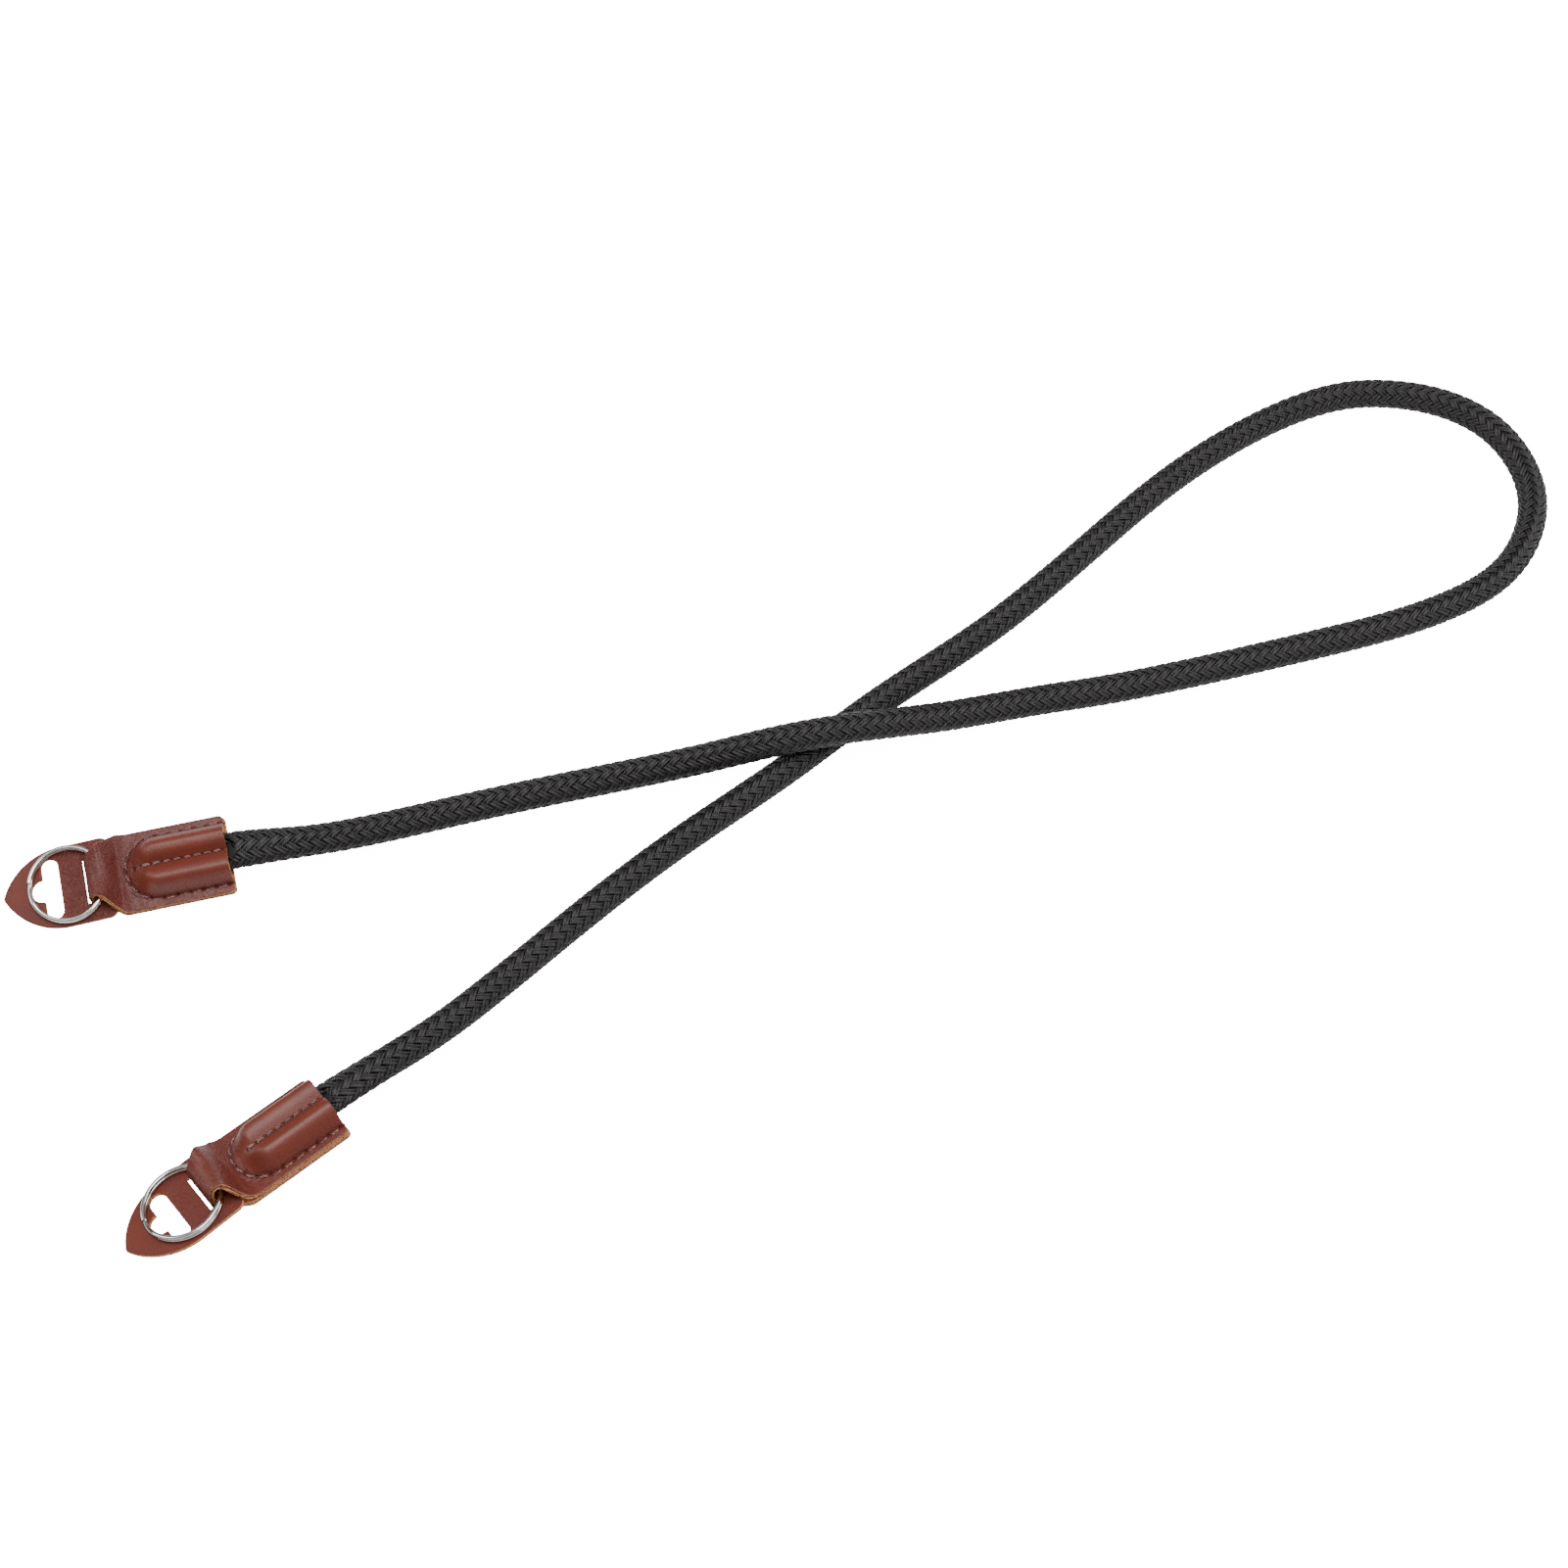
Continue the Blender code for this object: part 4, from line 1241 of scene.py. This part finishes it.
def guard_outline():
    """A leaf with a pointed outer end, straight sides and rounded inner corners."""
    half = GUARD_WIDTH / 2
    taper = GUARD_REACH - GUARD_STRAIGHT
    bow = (taper ** 2 + half ** 2) / (2 * half)
    sweep = math.degrees(math.asin(taper / bow))
    upper = arc_points((-GUARD_STRAIGHT, half - bow), bow, 90 + sweep, 90, TIP_POINTS)
    corner = (GUARD_TUCK - GUARD_CORNER, half - GUARD_CORNER)
    upper += arc_points(corner, GUARD_CORNER, 90, 0, CORNER_POINTS)
    return mirrored(upper, False)


def slot_outline():
    """A long slot across the leaf with a round notch towards the tip."""
    radius = SLOT_WIDTH / 2
    middle = -(SLOT_DISTANCE + radius)
    upper = arc_points((middle, SLOT_LENGTH / 2 - radius), radius, 0, 180, SLOT_END_POINTS)
    upper += [(middle - radius, NOTCH_RADIUS + NOTCH_LIP)]
    upper += arc_points((middle - radius - NOTCH_LIP, 0.0), NOTCH_RADIUS, 90, 180, CORNER_POINTS)
    return mirrored(upper, True)


def slit_outline():
    """The slit that the neck of the tab goes down through."""
    half = NECK_WIDTH / 2 + LAYER_GAP
    near = LEATHER + 1.5 * LAYER_GAP
    return [(-SLIT_MARGIN, -half), (near, -half), (near, half), (-SLIT_MARGIN, half)]


def cut_leaf():
    """The leaf with its slot and slit, and with rounded edges, in a body of small cells."""
    outlines = []
    for outline in (guard_outline(), slot_outline(), slit_outline()):
        outlines.append([(x, y, 0.0) for x, y in outline])
    leaf = new_curve("leaf", "2D", outlines, True)
    leaf.data.fill_mode = "BOTH"
    leaf.data.bevel_depth = GUARD_ROUNDING
    leaf.data.bevel_resolution = 2
    leaf.data.offset = -GUARD_ROUNDING
    leaf.data.extrude = GUARD_WALL / 2 - GUARD_ROUNDING
    body = bmesh.new()
    body.from_mesh(final_mesh(leaf))
    discard(leaf)
    bmesh.ops.remove_doubles(body, verts=body.verts, dist=2 * WELD)
    half = GUARD_WIDTH / 2
    for direction, low, high in (((1, 0, 0), -GUARD_REACH, GUARD_TUCK), ((0, 1, 0), -half, half)):
        for place in np.arange(low, high, GUARD_CELL)[1:]:
            geometry = body.verts[:] + body.edges[:] + body.faces[:]
            bmesh.ops.bisect_plane(body, geom=geometry, plane_co=place * Vector(direction),
                                   plane_no=direction, dist=WELD)
    bmesh.ops.recalc_face_normals(body, faces=body.faces)
    return body


def make_guard(end, finish):
    """The leaf with raw edges, crushed grain between slot and fold, and a soft warp."""
    name = end + "_leather_guard"
    body = cut_leaf()
    mesh = bpy.data.meshes.new(name)
    body.to_mesh(mesh)
    body.free()
    places = vertex_places(mesh)
    top = places[:, 2] > GUARD_WALL / 2 - 0.5 * GUARD_ROUNDING
    set_mask(mesh, "raw", np.where(top, 0.0, 1.0))
    strip = smooth(places[:, 0], -SLOT_DISTANCE, -SLOT_DISTANCE + STRIP_FADE)
    set_mask(mesh, "crushed", strip * STRIP_CRUSHING * CRUSHED[end])
    warp = wrinkle(places * (1.0, 1.0, 0.0), GUARD_WARP_SIZE, GUARD_SEEDS[end])
    places[:, 2] += GUARD_WARP * warp
    places = lean_with_guard(places, (0.0, 0.0, pocket_floor + GUARD_WALL / 2))
    set_vertex_places(mesh, to_world(end, places))
    dress(mesh, finish, GUARD_SHARP)
    guard = new_object(name, mesh)
    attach(guard, "strap")
    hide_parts(end + "_guard")


def ring_points():
    """Two turns of wire that step from the lower level to the upper one at the jog."""
    start = JOG_PLACE + JOG_ANGLE / 2
    end = JOG_PLACE - JOG_ANGLE / 2 + 4 * math.pi
    jog_start = JOG_PLACE - JOG_ANGLE / 2 + 2 * math.pi
    points = []
    for angle in np.linspace(start, end, round(RING_SEGMENTS * (end - start) / (2 * math.pi)) + 1):
        level = smooth(angle, jog_start, jog_start + JOG_ANGLE) - 0.5
        x = ring_radius * (math.cos(angle) - 1)
        points.append((x, ring_radius * math.sin(angle), level * coil_pitch))
    return points


def wire_section():
    """The wire's section: flat faces with well rounded corners."""
    wide = WIRE_WIDTH / 2 - WIRE_ROUNDING
    high = WIRE_HEIGHT / 2 - WIRE_ROUNDING
    corners = ((wide, high), (-wide, high), (-wide, -high), (wide, -high))
    points = []
    for i, corner in enumerate(corners):
        points += arc_points(corner, WIRE_ROUNDING, 90 * i, 90 * i + 90, WIRE_CORNER_POINTS)
    return polyline("wire_section", [(x, y, 0.0) for x, y in points], cyclic=True)


def make_ring(end, finish):
    section = wire_section()
    wire = polyline("wire", ring_points())
    wire.data.twist_mode = "Z_UP"
    wire.data.bevel_mode = "OBJECT"
    wire.data.bevel_object = section
    wire.data.use_fill_caps = True
    mesh = final_mesh(wire)
    discard(wire)
    discard(section)
    seat = pocket_floor + GUARD_WALL + ring_seat * math.tan(guard_droop)
    height = seat + LAYER_GAP + (coil_pitch + WIRE_HEIGHT) / 2
    places = lean_with_guard(vertex_places(mesh), (ring_seat, 0.0, height))
    set_vertex_places(mesh, to_world(end, places))
    body = bmesh.new()
    body.from_mesh(mesh)
    bmesh.ops.remove_doubles(body, verts=body.verts, dist=WELD)
    bmesh.ops.recalc_face_normals(body, faces=body.faces)
    body.to_mesh(mesh)
    body.free()
    dress(mesh, finish, RING_SHARP)
    ring = new_object(end + "_split_ring_wire", mesh)
    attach(ring, end + "_split_ring")
    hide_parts(end + "_ring")


# Floor and light

def make_stage():
    bpy.ops.mesh.primitive_plane_add(size=FLOOR_SIZE, location=(0.0, 0.0, 0.0))
    floor = bpy.context.object
    floor.name = "floor"
    floor.data.materials.append(paper_finish())
    world = bpy.data.worlds.new("studio")
    world.use_nodes = True
    tree = world.node_tree
    way = add_node(tree, "ShaderNodeTexCoord").outputs["Generated"]
    height = add_node(tree, "ShaderNodeSeparateXYZ", {"Vector": way}).outputs["Z"]
    sky = remap(tree, height, (0.0, 1.0), (SKY_HORIZON, SKY_ZENITH), interpolation_type="SMOOTHSTEP")
    seen = add_node(tree, "ShaderNodeLightPath").outputs["Is Camera Ray"]
    strength = number(tree, "MULTIPLY_ADD", seen, WHITE_GLOW, sky)
    set_inputs(tree, tree.nodes["Background"], {"Color": WHITE, "Strength": strength})
    bpy.context.scene.world = world
    for name, place, size, power in LIGHTS:
        lamp = bpy.data.lights.new(name, "AREA")
        lamp.shape = "RECTANGLE"
        lamp.size, lamp.size_y = size
        lamp.energy = power
        stand = new_object(name, lamp)
        stand.location = place
        towards = Vector(CAMERA_TARGET) - Vector(place)
        stand.rotation_euler = towards.to_track_quat("-Z", "Y").to_euler()


tab_leather = leather_finish(*TAB_FINISH)
guard_leather = leather_finish(*GUARD_FINISH)
nickel = nickel_finish()
thread = thread_finish()
stitching = seam_tree()
for end in ENDS:
    make_tab(end, tab_leather)
    make_stitches(end, thread, stitching)
    make_guard(end, guard_leather)
    make_ring(end, nickel)
make_stage()
